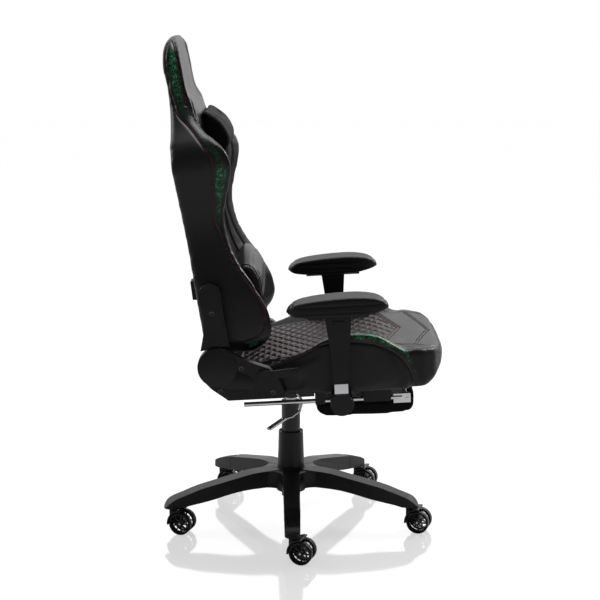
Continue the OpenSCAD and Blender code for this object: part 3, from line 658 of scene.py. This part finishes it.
def stitches(name, lines, settings, material, body):
    # short raised threads, one after another along each line
    bm = bmesh.new()
    length, gap, thick, lift = (settings[k] for k in ("length", "gap", "thick", "lift"))
    for line in lines:
        step = max(1, round((length + gap) / lineStep))
        for i in range(0, len(line) - step, step):
            a, normal = line[i]
            b = line[i + step][0]
            run = b - a
            if run.length < 1e-6 or run.length > 3 * (length + gap):
                continue
            run = run.normalized()
            across = normal.cross(run).normalized()
            up = run.cross(across)
            centre = a + run * length / 2 + up * lift + across * settings["beside"]
            turn = Matrix((run, across, up)).transposed().to_4x4()
            size = Matrix.Diagonal((length / 2, thick / 2, thick / 2, 1))
            bmesh.ops.create_icosphere(bm, subdivisions=1, radius=1,
                                       matrix=Matrix.Translation(centre) @ turn @ size)
    smoothFaces(addPiece(name, bm, material, body, "seat_cover"))


def piping(name, lines, settings, material, body, slot):
    # a round welt laid along each line
    curve = bpy.data.curves.new(name, "CURVE")
    curve.dimensions = "3D"
    curve.bevel_depth = settings["radius"]
    curve.bevel_resolution = 1
    curve.use_fill_caps = True
    for line in lines:
        spots = line[::2]
        if len(spots) < 3:
            continue
        spline = curve.splines.new("POLY")
        spline.points.add(len(spots) - 1)
        for spot, (point, normal) in zip(spline.points, spots):
            spot.co = (*(point + normal * settings["lift"]), 1)
    holder = linked(name, curve)
    bpy.context.view_layer.update()
    mesh = bpy.data.meshes.new_from_object(holder.evaluated_get(bpy.context.evaluated_depsgraph_get()))
    bpy.data.objects.remove(holder)
    bpy.data.curves.remove(curve)
    bm = bmesh.new()
    bm.from_mesh(mesh)
    bpy.data.meshes.remove(mesh)
    bmesh.ops.remove_doubles(bm, verts=bm.verts, dist=0.00001)
    bmesh.ops.recalc_face_normals(bm, faces=bm.faces)
    smoothFaces(addPiece(name, bm, material, body, slot))


def setAttributes(piece, **layers):
    for name, values in layers.items():
        layer = piece.data.attributes.new(name, "FLOAT", "POINT")
        layer.data.foreach_set("value", values)


def insideBy(point, outline):
    # how far a 2D point lies inside a closed outline; negative outside
    x, y = point
    inside, nearest = False, 1e9
    for (x1, y1), (x2, y2) in zip(outline, outline[1:] + outline[:1]):
        if (y1 > y) != (y2 > y) and x < (x2 - x1) * (y - y1) / (y2 - y1) + x1:
            inside = not inside
        dx, dy = x2 - x1, y2 - y1
        t = max(0.0, min(1.0, ((x - x1) * dx + (y - y1) * dy) / (dx * dx + dy * dy + 1e-12)))
        nearest = min(nearest, math.hypot(x - x1 - t * dx, y - y1 - t * dy))
    return nearest if inside else -nearest


# back: centre, head and wings in one upholstered shell

backSettings = {
    "voxel": 0.007, "smooth": 3, "shrink": 0.004, "cap": 0.007, "pressure": 4, "fill": 0.85,
    "seamDepth": 0.0026, "seamWidth": 0.0032, "fineReach": 0.007,
    # side view along the back: the rim of the side panel, and the front edge that the piping follows
    "panelSeam": [(-17, 712), (-20, 691), (-14, 658), (-7, 624), (16, 594), (37, 562), (53, 532), (61, 506),
                  (60, 473), (53, 433), (47, 383), (46, 350), (53, 323), (63, 282), (76, 242), (92, 209),
                  (108, 181), (121, 158), (130, 135), (134, 112), (131, 92), (121, 71), (104, 53), (82, 45)],
    "frontEdge": [(13, 802), (17, 784), (18, 737), (19, 685), (25, 645), (38, 608), (60, 577), (83, 549),
                  (99, 523), (106, 494), (102, 460), (90, 427), (78, 392), (70, 345), (72, 314), (80, 271),
                  (95, 228), (109, 199), (124, 166), (139, 125), (145, 90), (142, 64), (131, 42), (112, 28)],
    "headRear": [(-17, 712), (-19, 742), (-17, 772), (-8, 800)],
    "frontSeam": [(186, 60), (186, 300), (186, 500), (184, 610), (160, 690), (142, 760), (120, 790)],
    "panelSide": [(122, 60), (122, 300), (118, 480), (104, 560)],
    "crossSeams": [300, 470],
    "wingFlutes": [16, 30, 44], "edgeIn": 3, "headIn": 9,
    "quiltStep": 34, "quiltSlope": 0.62, "quiltLow": 70, "quiltHigh": 292, "quiltHalf": 112,
    "quiltDepth": 0.0026, "quiltWidth": 0.006,
    # how the head slims towards its top, and how square and flat its front is
    "slimFrom": -0.008, "headSlim": [(0.59, 1.0), (0.631, 0.86), (0.672, 0.68), (0.713, 0.63), (0.85, 0.6)],
    "headFrom": 0.63, "headTo": 0.81, "headBlend": 0.03, "cornerWide": 0.035, "cornerBlend": 0.03,
    "cornerRise": 0.05, "cornerGrow": 0.9, "flatFrom": 0.64, "flatRise": 0.04, "flatBy": 0.85,
    "flatBelow": 0.001, "neckSpan": (0.565, 0.675), "neckOut": 0.09, "neckSmooth": 5,
    # how far the wings come forward, and how their face falls away inwards
    "wingOut": 0.17, "wingFall": 0.85,
    "wingGrow": [(0.03, 1.05), (0.2, 1.045), (0.3, 1.0), (0.36, 1.0), (0.42, 1.05), (0.52, 1.06), (0.6, 1.0)],
    "faceOut": 0.14, "faceSpan": (0.03, 0.62), "faceRim": 0.012, "faceAbove": 0.004, "faceRest": 0.15,
    "faceDepth": 0.042,
    # the green band: its ends, where it may show, and its painted sheen, how brightly it is painted at each
    # height along the back
    "bandHead": [(10, 812), (-8, 800), (-17, 772), (-19, 742), (-17, 712)], "bandFoot": [(70, 20), (100, 24)],
    "bandOut": 0.12, "bandFacing": 0.25, "bandTurn": 0.03,
    "bandGlow": [(0.0, 0.0), (0.014, 0.6), (0.026, 1.0), (0.044, 0.05), (0.33, 0.02), (0.36, 0.1),
                 (0.4, 0.3), (0.414, 0.35), (0.434, 1.0), (0.452, 0.3), (0.471, 1.0), (0.49, 0.1),
                 (0.62, 0.05), (0.665, 0.3), (0.70, 0.85), (0.74, 1.0), (0.765, 1.0), (0.778, 0.3),
                 (0.789, 0.6), (0.797, 0.0)],
}


def shapeBack(piece, settings):
    # a slimmer head, and wings whose face falls away inwards from the welted edge
    points = inFrame(piece, backPlace)
    edge = sorted((q / 1000, p / 1000) for p, q in settings["frontEdge"])
    outerFace = {}
    for _, y, q in points:
        outerFace[round(q * 100)] = max(outerFace.get(round(q * 100), 0.0), abs(y))
    neckLow, neckHigh = settings["neckSpan"]
    neck = [i for i, (_, y, q) in enumerate(points)
            if neckLow < q < neckHigh and abs(y) > settings["neckOut"]]
    faceLow, faceHigh = settings["faceSpan"]
    start, headFrom, headTo, blend = (settings[k] for k in ("slimFrom", "headFrom", "headTo", "headBlend"))
    shaped = []
    for p, y, q in points:
        p = scaledPast(p, start, along(settings["headSlim"], q))
        outer = outerFace[round(q * 100)]
        if q > headFrom:
            # the head's front corners are square, its front nearly flat
            corner = clamp((abs(y) - outer + settings["cornerWide"]) / settings["cornerBlend"])
            corner *= clamp((q - headFrom) / settings["cornerRise"]) * clamp((headTo - q) / blend)
            p = scaledPast(p, start, 1.0 + settings["cornerGrow"] * corner)
            flat = clamp(min((q - settings["flatFrom"]) / settings["flatRise"], (headTo - q) / blend))
            p = scaledPast(p, along(edge, q) - settings["flatBelow"], 1.0 - settings["flatBy"] * flat)
        if abs(y) > settings["wingOut"] and p > 0:
            p *= along(settings["wingGrow"], q)
        if abs(y) > settings["faceOut"] and faceLow < q < faceHigh:
            depth = max(0.0, outer - abs(y) - settings["faceRim"])
            limit = along(edge, q) + settings["faceAbove"]
            limit = max(limit - depth * settings["wingFall"], min(limit, settings["faceDepth"]))
            p = scaledPast(p, limit, settings["faceRest"])
        shaped.append((p, y, q))
    setInFrame(piece, backPlace, shaped)
    evenOut(piece, 3)
    evenOut(piece, settings["neckSmooth"], neck)


def quiltPaths(low, high, settings):
    # the slanting lines of the quilting, as places across and along the panel
    half, slope = settings["quiltHalf"], settings["quiltSlope"]
    for start in range(int(low - slope * half), int(high(0) + slope * half), settings["quiltStep"]):
        for lean in (-slope, slope):
            path = [(y, start + lean * y) for y in range(-half, half + 1, 4)]
            path = [(y, at) for y, at in path if low < at < high(y)]
            if len(path) > 3:
                yield path


def backLines(piece, settings):
    # every sewn line of the back, by kind
    tree = skinTree(piece)
    lines = {"panel": [], "edge": [], "front": [], "flutes": [], "quilt": []}
    rearwards = (-1, 0, 0)

    def sew(kind, points, direction, back=0.5):
        lines[kind].append(lineOnSkin(tree, points, backPlace, direction, back))

    for side in (-1, 1):
        inwards = (0, -side, 0)
        for key in ("panelSeam", "headRear"):
            sew("panel", [mm(p, 0, q) for p, q in settings[key]], inwards)
        sew("edge", [mm(p - settings["edgeIn"], 0, q) for p, q in settings["frontEdge"]], inwards)
        sew("panel", [mm(p - settings["headIn"], 0, q) for p, q in settings["frontEdge"][:5]], inwards)
        for key in ("frontSeam", "panelSide"):
            sew("front", [mm(0, side * y, q) for y, q in settings[key]], rearwards)
        for inset in settings["wingFlutes"]:
            points = [mm(p - inset, side * 120, q) for p, q in settings["frontEdge"][8:20]]
            sew("flutes", points, (0, side, 0), back=0.0)
    half = settings["quiltHalf"]
    for height in settings["crossSeams"]:
        sew("front", [mm(0, y, height) for y in (-half, 0, half)], rearwards)
    for path in quiltPaths(settings["quiltLow"], lambda y: settings["quiltHigh"], settings):
        sew("quilt", [mm(0, y, at) for y, at in path], rearwards)
    return lines


def bandOnBack(piece, settings):
    # the green band, as a distance inside its outline in the side view
    turn = backPlace.inverted().to_3x3()
    outline = [(p / 1000, q / 1000) for p, q in settings["panelSeam"][1:] + settings["bandFoot"]
               + settings["frontEdge"][::-1] + settings["bandHead"]]
    band, strength = [], []
    for (p, y, q), normal in zip(inFrame(piece, backPlace), piece.data.vertex_normals):
        facing = (turn @ normal.vector).y
        away = insideBy((p, q), outline)
        if abs(y) < settings["bandOut"] or facing * y < 0:
            away = -0.05
        band.append(min(away, (abs(facing) - settings["bandFacing"]) * settings["bandTurn"]))
        # the band's painted sheen at this height
        strength.append(along(settings["bandGlow"], q))
    setAttributes(piece, band=band, bandStrength=strength)


def makeShell(name, nodes, frameNodes, settings, body, shape, drawLines, drawBand):
    # one upholstered shell: padded, its seams and quilting pressed in, its green band marked
    piece = softPiece(name, nodes, frameNodes, settings, "band", body, "seat_cover", shape)
    lines = {kind: [line for line in found if len(line) > 3]
             for kind, found in drawLines(piece, settings).items()}
    allLines = [line for found in lines.values() for line in found]
    refineNear(piece, allLines, settings["fineReach"])
    carve(piece, lines["quilt"], settings["quiltDepth"], settings["quiltWidth"], sharp=True)
    carve(piece, allLines, settings["seamDepth"], settings["seamWidth"])
    lines = {kind: settled(piece, found) for kind, found in lines.items()}
    drawBand(piece, settings)
    return lines


# seat: cushion and bolsters in one upholstered shell

seatSettings = {
    "voxel": 0.006, "smooth": 3, "shrink": 0.003, "cap": 0.006, "pressure": 4, "fill": 0.85,
    "seamDepth": 0.0026, "seamWidth": 0.003, "fineReach": 0.006,
    # seen from above: the quilted centre ends at a seam that points forward
    "quiltStep": 30, "quiltSlope": 0.536, "quiltRear": -114, "quiltHalf": 186, "quiltShort": 6,
    "quiltDepth": 0.0017, "quiltWidth": 0.007,
    "arrows": [(297, 0.27), (288, 0.27), (374, 0.24), (367, 0.24)],
    "crease": [(-112, 203), (0, 203), (100, 203), (200, 203), (290, 203), (330, 207), (365, 200), (386, 184)],
    # seen from the side: the lower and the upper edge of the green band
    "bandOuter": [(283, 118), (300, 100), (316, 77), (328, 48), (338, 16)],
    "bandInner": [(-2, 93), (29, 105), (70, 123), (108, 131), (164, 131), (213, 124), (251, 108), (281, 86),
                  (302, 56), (312, 26), (316, 8)],
    "bandTop": [(338, 8), (328, 48), (318, 77), (306, 112), (296, 150), (285, 200), (-30, 200), (-30, 90)],
    # where the band starts, how fast it fades in, and its painted sheen: where it is brightest, how far it
    # spreads, and its least
    "bandIn": 0.24, "bandTurn": 1.3, "bandBright": 0.18, "bandSpread": 0.095, "bandLeast": 0.1,
    "frontSeam": 84,
    # how the front is lowered, and how each bolster falls towards the middle
    "noseLower": [(0.235, 1.0), (0.3, 0.86), (0.42, 0.83)], "noseFrom": 0.055,
    "creaseAt": 0.206, "crestIn": 0.012, "crestFall": 0.6, "crestTo": 0.3, "crestBlend": 0.06,
    "crestRest": 0.1,
}


def shapeSeat(piece, settings):
    # the top falls a little towards the front, and each bolster's crest lies near its outer side
    points = inFrame(piece, seatPlace)
    outer = max(abs(y) for _, y, _ in points)
    crest = {}
    for u, y, w in points:
        if abs(y) > settings["creaseAt"]:
            crest[round(u * 100)] = max(crest.get(round(u * 100), 0.0), w)
    shaped = []
    for u, y, w in points:
        if abs(y) > settings["creaseAt"]:
            depth = max(0.0, outer - settings["crestIn"] - abs(y))
            ending = clamp((settings["crestTo"] - u) / settings["crestBlend"])
            limit = crest[round(u * 100)] - depth * settings["crestFall"] * ending
            w = scaledPast(w, limit, settings["crestRest"])
        w = scaledPast(w, settings["noseFrom"], along(settings["noseLower"], u))
        shaped.append((u, y, w))
    setInFrame(piece, seatPlace, shaped)
    evenOut(piece, 2)


def seatLines(piece, settings):
    # every sewn line of the seat, by kind
    tree = skinTree(piece)
    lines = {"panel": [], "quilt": [], "arrow": [], "darkArrow": [], "crease": []}
    down = (0, 0, -1)

    def sew(kind, points, direction=down):
        lines[kind].append(lineOnSkin(tree, points, seatPlace, direction))

    for side in (-1, 1):
        for key, kind in (("bandInner", "panel"), ("bandOuter", "crease")):
            sew(kind, [mm(u, 0, w) for u, w in settings[key]], (0, -side, 0))
        sew("crease", [mm(u, side * y, 0) for u, y in settings["crease"]])
    for index, (apex, slope) in enumerate(settings["arrows"]):
        points = [mm(apex - slope * abs(y), y, 0) for y in range(-196, 197, 4)]
        for half in (points[:50], points[49:]):
            sew("arrow" if index < 2 else "darkArrow", half)
    apex, slope = settings["arrows"][1]
    front = apex - settings["quiltShort"]
    for path in quiltPaths(settings["quiltRear"], lambda y: front - slope * abs(y), settings):
        sew("quilt", [mm(at, y, 0) for y, at in path])
    sew("crease", [mm(0, y, settings["frontSeam"]) for y in range(-190, 191, 20)], (-1, 0, 0))
    return lines


def bandOnSeat(piece, settings):
    # the green band on the bolsters' outer sides, with a painted sheen that is brightest at one place along
    # them
    outline = [(p / 1000, q / 1000) for p, q in settings["bandInner"] + settings["bandTop"]]
    band, strength = [], []
    for u, y, w in inFrame(piece, seatPlace):
        away = insideBy((u, w), outline)
        band.append(min(away, (abs(y) - settings["bandIn"]) * settings["bandTurn"]))
        # painted sheen, brightest at one place along the band
        glow = math.exp(-((u - settings["bandBright"]) / settings["bandSpread"]) ** 2)
        strength.append(max(settings["bandLeast"], glow))
    setAttributes(piece, band=band, bandStrength=strength)


seamStitch = {"length": 0.005, "gap": 0.001, "thick": 0.0019, "lift": 0.0007, "beside": 0.0026}
fineStitch = {"length": 0.005, "gap": 0.001, "thick": 0.0015, "lift": 0.0003, "beside": 0.0}
quiltStitch = {"length": 0.004, "gap": 0.002, "thick": 0.0012, "lift": 0.0002, "beside": 0.0}
weltSettings = {"radius": 0.0014, "lift": 0.0008}

seams = makeShell("back_shell", ["back_cushion", "back_wing_right", "back_wing_left"], ["back_frame"],
                  backSettings, "back", shapeBack, backLines, bandOnBack)
stitches("back_stitching", seams["panel"], seamStitch, "thread", "back")
stitches("back_quilt_stitching", seams["quilt"] + seams["front"], quiltStitch, "thread", "back")
stitches("back_dark_stitching", seams["flutes"], fineStitch, "blackThread", "back")
piping("back_piping", seams["edge"], weltSettings, "leather", "back", "seat_cover")
print("back sewn")

seams = makeShell("seat_shell", ["seat_cushion", "seat_bolster_right", "seat_bolster_left"], [],
                  seatSettings, "seat", shapeSeat, seatLines, bandOnSeat)
stitches("seat_stitching", seams["panel"], seamStitch, "thread", "seat")
stitches("seat_quilt_stitching", seams["quilt"], quiltStitch, "thread", "seat")
stitches("seat_arrow_stitching", seams["arrow"], fineStitch, "thread", "seat")
stitches("seat_dark_stitching", seams["darkArrow"] + seams["crease"], fineStitch, "blackThread", "seat")
print("seat sewn")

# pillows, footrest pad, arm pads

pillowSettings = {"voxel": 0.005, "smooth": 8, "shrink": 0.004, "cap": 0.009, "pressure": 5, "fill": 0.8,
                  "seamInset": 0.012, "seamDepth": 0.002, "seamWidth": 0.003, "radius": 0.002, "lift": 0.0012}
lumbarSettings = {
    **pillowSettings,
    # the slump starts at a height, and the tracks give front and rear before and after it
    "slumpFrom": 0.15, "slumpTo": 0.73, "slumpEnds": 0.23, "halfLength": 0.15, "rearBefore": 0.04,
    "frontBefore": [(0.15, 0.13), (0.206, 0.116), (0.262, 0.098), (0.29, 0.084)],
    "rearAfter": [(0.15, 0.04), (0.2, 0.05), (0.262, 0.078), (0.29, 0.088)],
    "frontAfter": [(0.15, 0.13), (0.206, 0.13), (0.262, 0.118), (0.29, 0.104)],
}
footSettings = {"voxel": 0.005, "smooth": 4, "shrink": 0.003, "cap": 0.005, "pressure": 4, "fill": 0.7,
                "seamInset": 0.012, "seamDepth": 0.002, "seamWidth": 0.0035, "radius": 0.0013, "lift": 0.0004}
padFineReach = 0.008
armSettings = {"voxel": 0.0025, "smooth": 9, "shrink": 0.0, "divide": False, "fill": 0.9,
               # height, depth and width of each groove round a pad
               "grooves": [(0.6, 0.0014, 0.0022), (0.3, 0.0009, 0.0016)]}


def shapeLumbar(piece, settings):
    # the pillow has slumped: lower and thinner at its top, fuller in front, its ends drawn in
    start, rear = settings["slumpFrom"], settings["rearBefore"]
    shaped = []
    for p, y, q in inFrame(piece, backPlace):
        if q > start:
            share = (p - rear) / (along(settings["frontBefore"], q) - rear)
            newRear = along(settings["rearAfter"], q)
            p = newRear + share * (along(settings["frontAfter"], q) - newRear)
            drawnIn = settings["slumpEnds"] * (y / settings["halfLength"]) ** 2
            q = start + (q - start) * (settings["slumpTo"] - drawnIn)
        shaped.append((p, y, q))
    setInFrame(piece, backPlace, shaped)
    evenOut(piece, 2)


def sewnPad(name, node, settings, place, body, slot, shape=None, material="soft leather"):
    # a stuffed pad with a welted seam round each end panel
    piece = softPiece(name, [node], [], settings, material, body, slot, shape)
    reach = max(abs(corner[1]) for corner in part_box(node)) - settings["seamInset"]
    rings = [ringOnSkin(piece, place, Vector((0, side * reach, 0)), (0, 1, 0)) for side in (-1, 1)]
    refineNear(piece, rings, padFineReach)
    carve(piece, rings, settings["seamDepth"], settings["seamWidth"])
    piping(f"{name}_piping", settled(piece, rings), settings, "leather", body, slot)


sewnPad("head_pillow_cover", "head_pillow", pillowSettings, backPlace, "back", "pillow_cover")
sewnPad("lumbar_pillow_cover", "lumbar_pillow", lumbarSettings, backPlace, "back", "pillow_cover",
        shapeLumbar, "leather")
sewnPad("footrest_cover", "footrest_pad", footSettings, seatPlace, "footrest", "seat_cover")
for side in sides:
    node = f"arm_pad_{side}"
    armPad = softPiece(f"{node}_skin", [node], [], armSettings, "skin", f"arm_{side}", "pad_foam")
    low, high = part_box(node)
    for share, depth, width in armSettings["grooves"]:
        level = Vector(((low[0] + high[0]) / 2, 0, low[2] + (high[2] - low[2]) * share))
        ring = ringOnSkin(armPad, Matrix(), level, seatPlace.to_3x3() @ Vector((0, 0, 1)))
        carve(armPad, [ring], depth, width)
print("soft pieces made")

# rigid parts with softened edges: node, material, body, slot, width of the edges

rigid = [
    ("base_star", "base", "base", "base_plastic", 0.0024),
    ("arm_elbows", "trim", "seat", "trim_plastic", 0.003),
    ("recline_covers_lower", "trim", "seat", "trim_plastic", 0.0022),
    ("recline_covers_upper", "trim", "back", "trim_plastic", 0.0022),
    ("recline_lever", "trim", "recline_lever", "trim_plastic", 0.0015),
]
for side in sides:
    rigid.append((f"arm_post_{side}", "trim", "seat", "trim_plastic", 0.003))
    rigid.append((f"arm_button_{side}", "shroud", f"button_{side}", "trim_plastic", 0.001))
for count in range(1, 6):
    rigid.append((f"caster_housing_{count}", "caster", f"caster_{count}", "caster_plastic", 0.0009))
    for side in sides:
        wheel = f"wheel_{count}_{side}"
        rigid.append((f"caster_{wheel}", "caster", wheel, "caster_plastic", 0.0007))
for part in rigid:
    roundedCopy(*part)


def raiseHoods(settings):
    # each hood rises to the foot above it, with only a running gap between
    for count in range(1, 6):
        hood = bpy.data.objects[f"caster_housing_{count}_shell"].data
        low, top = settings["hoodFrom"], max(v.co.z for v in hood.vertices)
        lift = settings["hoodTop"] - top
        for vertex in hood.vertices:
            if vertex.co.z > low:
                vertex.co.z += lift * (vertex.co.z - low) / (top - low)


def raiseCoverEdge(settings):
    # the lower edge of the recline covers, behind their foot
    cover = bpy.data.objects["recline_covers_lower_shell"]
    points = inFrame(cover, seatPlace)
    lowest, below = min(w for _, _, w in points), settings["edgeBelow"]
    for vertex, (u, y, w) in zip(cover.data.vertices, points):
        if w < below and u < 0.0:
            share = min(1.0, -u / settings["edgeBlend"])
            w += (settings["edgeAt"] - lowest) * share * (below - w) / (below - lowest)
            vertex.co = seatPlace @ Vector((u, y, w))


def hideHubFoot(settings):
    # the hub's foot stays hidden behind the legs
    foot = bpy.data.objects["base_star_shell"].data
    hub = [v for v in foot.vertices if v.co.xy.length < settings["hubRadius"]]
    level = min(v.co.z for v in hub) + settings["hubHidden"]
    for vertex in hub:
        vertex.co.z = max(vertex.co.z, level)


rigidSettings = {"hoodFrom": 0.042, "hoodTop": 0.0664, "edgeBelow": 0.022, "edgeAt": 0.0065,
                 "edgeBlend": 0.012, "hubRadius": 0.05, "hubHidden": 0.012}
raiseHoods(rigidSettings)
raiseCoverEdge(rigidSettings)
hideHubFoot(rigidSettings)
print("rigid parts made")

# small details on the rigid parts

coverSettings = {
    "screws": [(-117, 87), (-172, 31), (-41, 22)], "screwOnBack": (7, 136), "proud": 0.0002,
    "screw": {"radius": 0.0062, "taper": 0.94, "height": 0.0022, "socket": 0.42, "socketDepth": 0.0016},
    "discRadius": 49, "discPoints": 48, "plate": 0.0016, "disc": 0.0024,
    # the raised arm of the lower cover, in the recline axis' own frame
    "arm": [(6, 6), (40, -8), (74, -22), (92, -38), (88, -58), (60, -57), (30, -56), (4, -52), (-16, -30)],
}
baseSettings = {"grips": [288, 295, 302, 309, 316, 323], "gripHalf": 19, "gripRadius": 0.0011, "legs": 5,
                "firstLeg": -89, "jointAt": 262, "jointRadius": 0.0006, "jointSide": 30,
                "jointDrop": [114, 100, 90, 80], "step": 0.001}


def screw(bm, place, settings):
    # a socket head in its recess, facing along the place's z axis
    radius = settings["radius"]
    made = bmesh.ops.create_cone(bm, cap_ends=True, segments=20, radius1=radius,
                                 radius2=radius * settings["taper"], depth=settings["height"], matrix=place)
    axis = place.to_3x3() @ Vector((0, 0, 1))
    top = max((f for f in {f for v in made["verts"] for f in v.link_faces} if len(f.verts) > 4),
              key=lambda f: f.calc_center_median().dot(axis))
    bmesh.ops.inset_region(bm, faces=[top], thickness=radius * settings["socket"])
    bmesh.ops.translate(bm, verts=top.verts, vec=-axis * settings["socketDepth"])


def raisedPlate(bm, outline, place, thickness):
    # a flat raised area of a moulding, its rim rolled over
    verts = [bm.verts.new(place @ Vector((a / 1000, 0, b / 1000))) for a, b in outline]
    face = bm.faces.new(verts)
    outwards = (place.to_3x3() @ Vector((0, -1, 0))).normalized()
    face.normal_update()
    if face.normal.dot(outwards) < 0:
        face.normal_flip()
    grown = bmesh.ops.extrude_face_region(bm, geom=[face])
    topVerts = [v for v in grown["geom"] if isinstance(v, bmesh.types.BMVert)]
    bmesh.ops.translate(bm, verts=topVerts, vec=outwards * thickness)
    rim = [e for e in {e for v in topVerts for e in v.link_edges} if all(v in topVerts for v in e.verts)]
    bmesh.ops.bevel(bm, geom=rim, offset=thickness * 0.8, affect="EDGES", segments=2, profile=0.5,
                    material=-1)


def crispPiece(name, bm, material, body, slot):
    smoothFaces(addPiece(name, bm, material, body, slot), 40)


def makeCoverDetails(settings):
    lowFace = abs(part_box("recline_covers_lower")[0][1])
    highFace = abs(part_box("recline_covers_upper")[0][1])
    count = settings["discPoints"]
    turns = [k * math.tau / count for k in range(count)]
    disc = [(settings["discRadius"] * math.cos(t), settings["discRadius"] * math.sin(t)) for t in turns]
    for name, side in sides.items():
        turn = Matrix.Rotation(math.radians(90 * -side), 4, "X")
        flip = Matrix.Diagonal((1, -side, 1, 1))
        bm = bmesh.new()
        for u, w in settings["screws"]:
            spot = seatPlace @ Vector((u / 1000, side * (lowFace + settings["proud"]), w / 1000))
            screw(bm, Matrix.Translation(spot) @ seatTurn @ turn, settings["screw"])
        crispPiece(f"cover_screws_{name}", bm, "bolt", "seat", "bolt_steel")
        bm = bmesh.new()
        p, q = settings["screwOnBack"]
        spot = backPlace @ Vector((p / 1000, side * (highFace + settings["proud"]), q / 1000))
        screw(bm, Matrix.Translation(spot) @ backPlace.to_3x3().to_4x4() @ turn, settings["screw"])
        crispPiece(f"back_cover_screw_{name}", bm, "bolt", "back", "bolt_steel")
        bm = bmesh.new()
        place = pivotPlace @ Matrix.Translation((0, side * lowFace, 0)) @ flip
        raisedPlate(bm, settings["arm"], place, settings["plate"])
        raisedPlate(bm, disc, place, settings["disc"])
        bmesh.ops.recalc_face_normals(bm, faces=bm.faces)
        crispPiece(f"cover_relief_{name}", bm, "trim", "seat", "trim_plastic")


def makeBaseDetails(settings):
    # grip ribs across each foot, and the joint line of the foot pad
    tree = skinTree(bpy.data.objects["base_star_shell"])
    half, ribs, joints = settings["gripHalf"], [], []
    for leg in range(settings["legs"]):
        turn = settings["firstLeg"] + leg * 360 / settings["legs"]
        place = Matrix.Rotation(math.radians(turn), 4, "Z")

        def draw(found, points, direction, back=0.5):
            found.append(lineOnSkin(tree, points, place, direction, back, settings["step"]))

        for reach in settings["grips"]:
            draw(ribs, [mm(reach, y, 0) for y in (-half, 0, half)], (0, 0, -1))
        draw(joints, [mm(settings["jointAt"], y, 0) for y in (-half - 1, 0, half + 1)], (0, 0, -1))
        for side in (-1, 1):
            points = [mm(settings["jointAt"], side * settings["jointSide"], w) for w in settings["jointDrop"]]
            draw(joints, points, (0, -side, 0), 0.0)
    grip, joint = ({"radius": settings[k], "lift": 0.0} for k in ("gripRadius", "jointRadius"))
    piping("base_grip_ribs", ribs, grip, "base", "base", "base_plastic")
    piping("base_foot_joints", joints, joint, "caster", "base", "base_plastic")


makeCoverDetails(coverSettings)
makeBaseDetails(baseSettings)
print("details made")

studio = {
    "eye": (0.0246, -4.0187, 1.3962), "pitch": 0.1938, "lens": 92.32,
    "lamps": {  # place, aim, size and power
        "overhead softbox": ((0.3, 0.2, 3.4), (0, 0, 0.7), (1.8, 1.4), 42),
        "front softbox": ((2.2, 1.7, 2.7), (-0.1, 0, 0.95), (0.9, 1.1), 52),
        "rear softbox": ((-2.8, 0.6, 1.9), (0, 0, 0.8), (0.7, 2.0), 26),
    },
    # how the surroundings brighten from the camera's side to behind the chair
    "surroundings": (-0.5, 0.6), "diffuse": (0.07, 0.5), "mirrored": (0.16, 1.0),
    "floorSize": 14, "floorDrop": 0.0005, "floorShade": 0.34, "floorGlow": 0.9, "floorMirror": 0.34,
    "floorPolish": 0.07,
}
cameraData = bpy.data.cameras.new("camera")
cameraData.lens = studio["lens"]
cameraData.sensor_width = 36
cameraData.clip_end = 30
camera = linked("camera", cameraData)
camera.location = studio["eye"]
camera.rotation_euler = (math.pi / 2 - studio["pitch"], 0, 0)
bpy.context.scene.camera = camera


def addLight(name, place, target, size, power):
    data = bpy.data.lights.new(name, "AREA")
    data.shape = "RECTANGLE"
    data.size, data.size_y = size
    data.energy = power
    light = linked(name, data)
    light.location = place
    light.rotation_euler = (Vector(target) - Vector(place)).to_track_quat("-Z", "Y").to_euler()


def makeWorld(settings):
    # bright behind the chair, dim on the camera's side, and plain white where a ray looks straight at it
    world = bpy.data.worlds.new("studio")
    bpy.context.scene.world = world
    nodes = Nodes(world)
    side = nodes.axes(nodes.node("ShaderNodeTexCoord", output="Generated"))[1]
    mirrored = side.ramp(*settings["surroundings"], *settings["mirrored"]) * nodes.ray("Glossy")
    straight = nodes.ray("Camera").most(nodes.ray("Transmission"))
    strength = mirrored.most(straight).most(side.ramp(*settings["surroundings"], *settings["diffuse"]))
    white = nodes.node("ShaderNodeBackground", None, {"Color": (1, 1, 1), "Strength": strength})
    nodes.node("ShaderNodeOutputWorld", None, {"Surface": white}, output=None)


def makeFloor(settings):
    # white sweep: a soft shadow, a faint mirror image, and plain white to the camera elsewhere
    shader = Shader("studio floor")
    bm = bmesh.new()
    bmesh.ops.create_grid(bm, x_segments=1, y_segments=1, size=settings["floorSize"])
    floor = linked("floor", meshFrom("floor", bm, shader.material))
    floor.location.z = -settings["floorDrop"]
    shader.set(Base_Color=(0.8, 0.8, 0.8), Roughness=0.9)
    shader.shine(0.0)
    shade = shader.node("ShaderNodeBsdfDiffuse", None, {"Color": (settings["floorShade"],) * 3})
    glow = shader.node("ShaderNodeEmission", None, {"Strength": settings["floorGlow"]})
    gloss = shader.node("ShaderNodeBsdfGlossy", None,
                        {"Color": (1, 1, 1), "Roughness": settings["floorPolish"]})
    lit = shader.node("ShaderNodeAddShader", None, {0: shade, 1: glow})
    mirror = shader.node("ShaderNodeMixShader", None, {0: settings["floorMirror"], 1: lit, 2: gloss})
    plain = Wire(shader, shader.surface.outputs[0])
    seen = shader.node("ShaderNodeMixShader", None, {0: shader.ray("Camera"), 1: plain, 2: mirror})
    shader.feed(shader.out.inputs[0], seen)


for name, lamp in studio["lamps"].items():
    addLight(name, *lamp)
makeWorld(studio)
makeFloor(studio)
bpy.context.scene.view_settings.view_transform = "Standard"
print("studio ready")
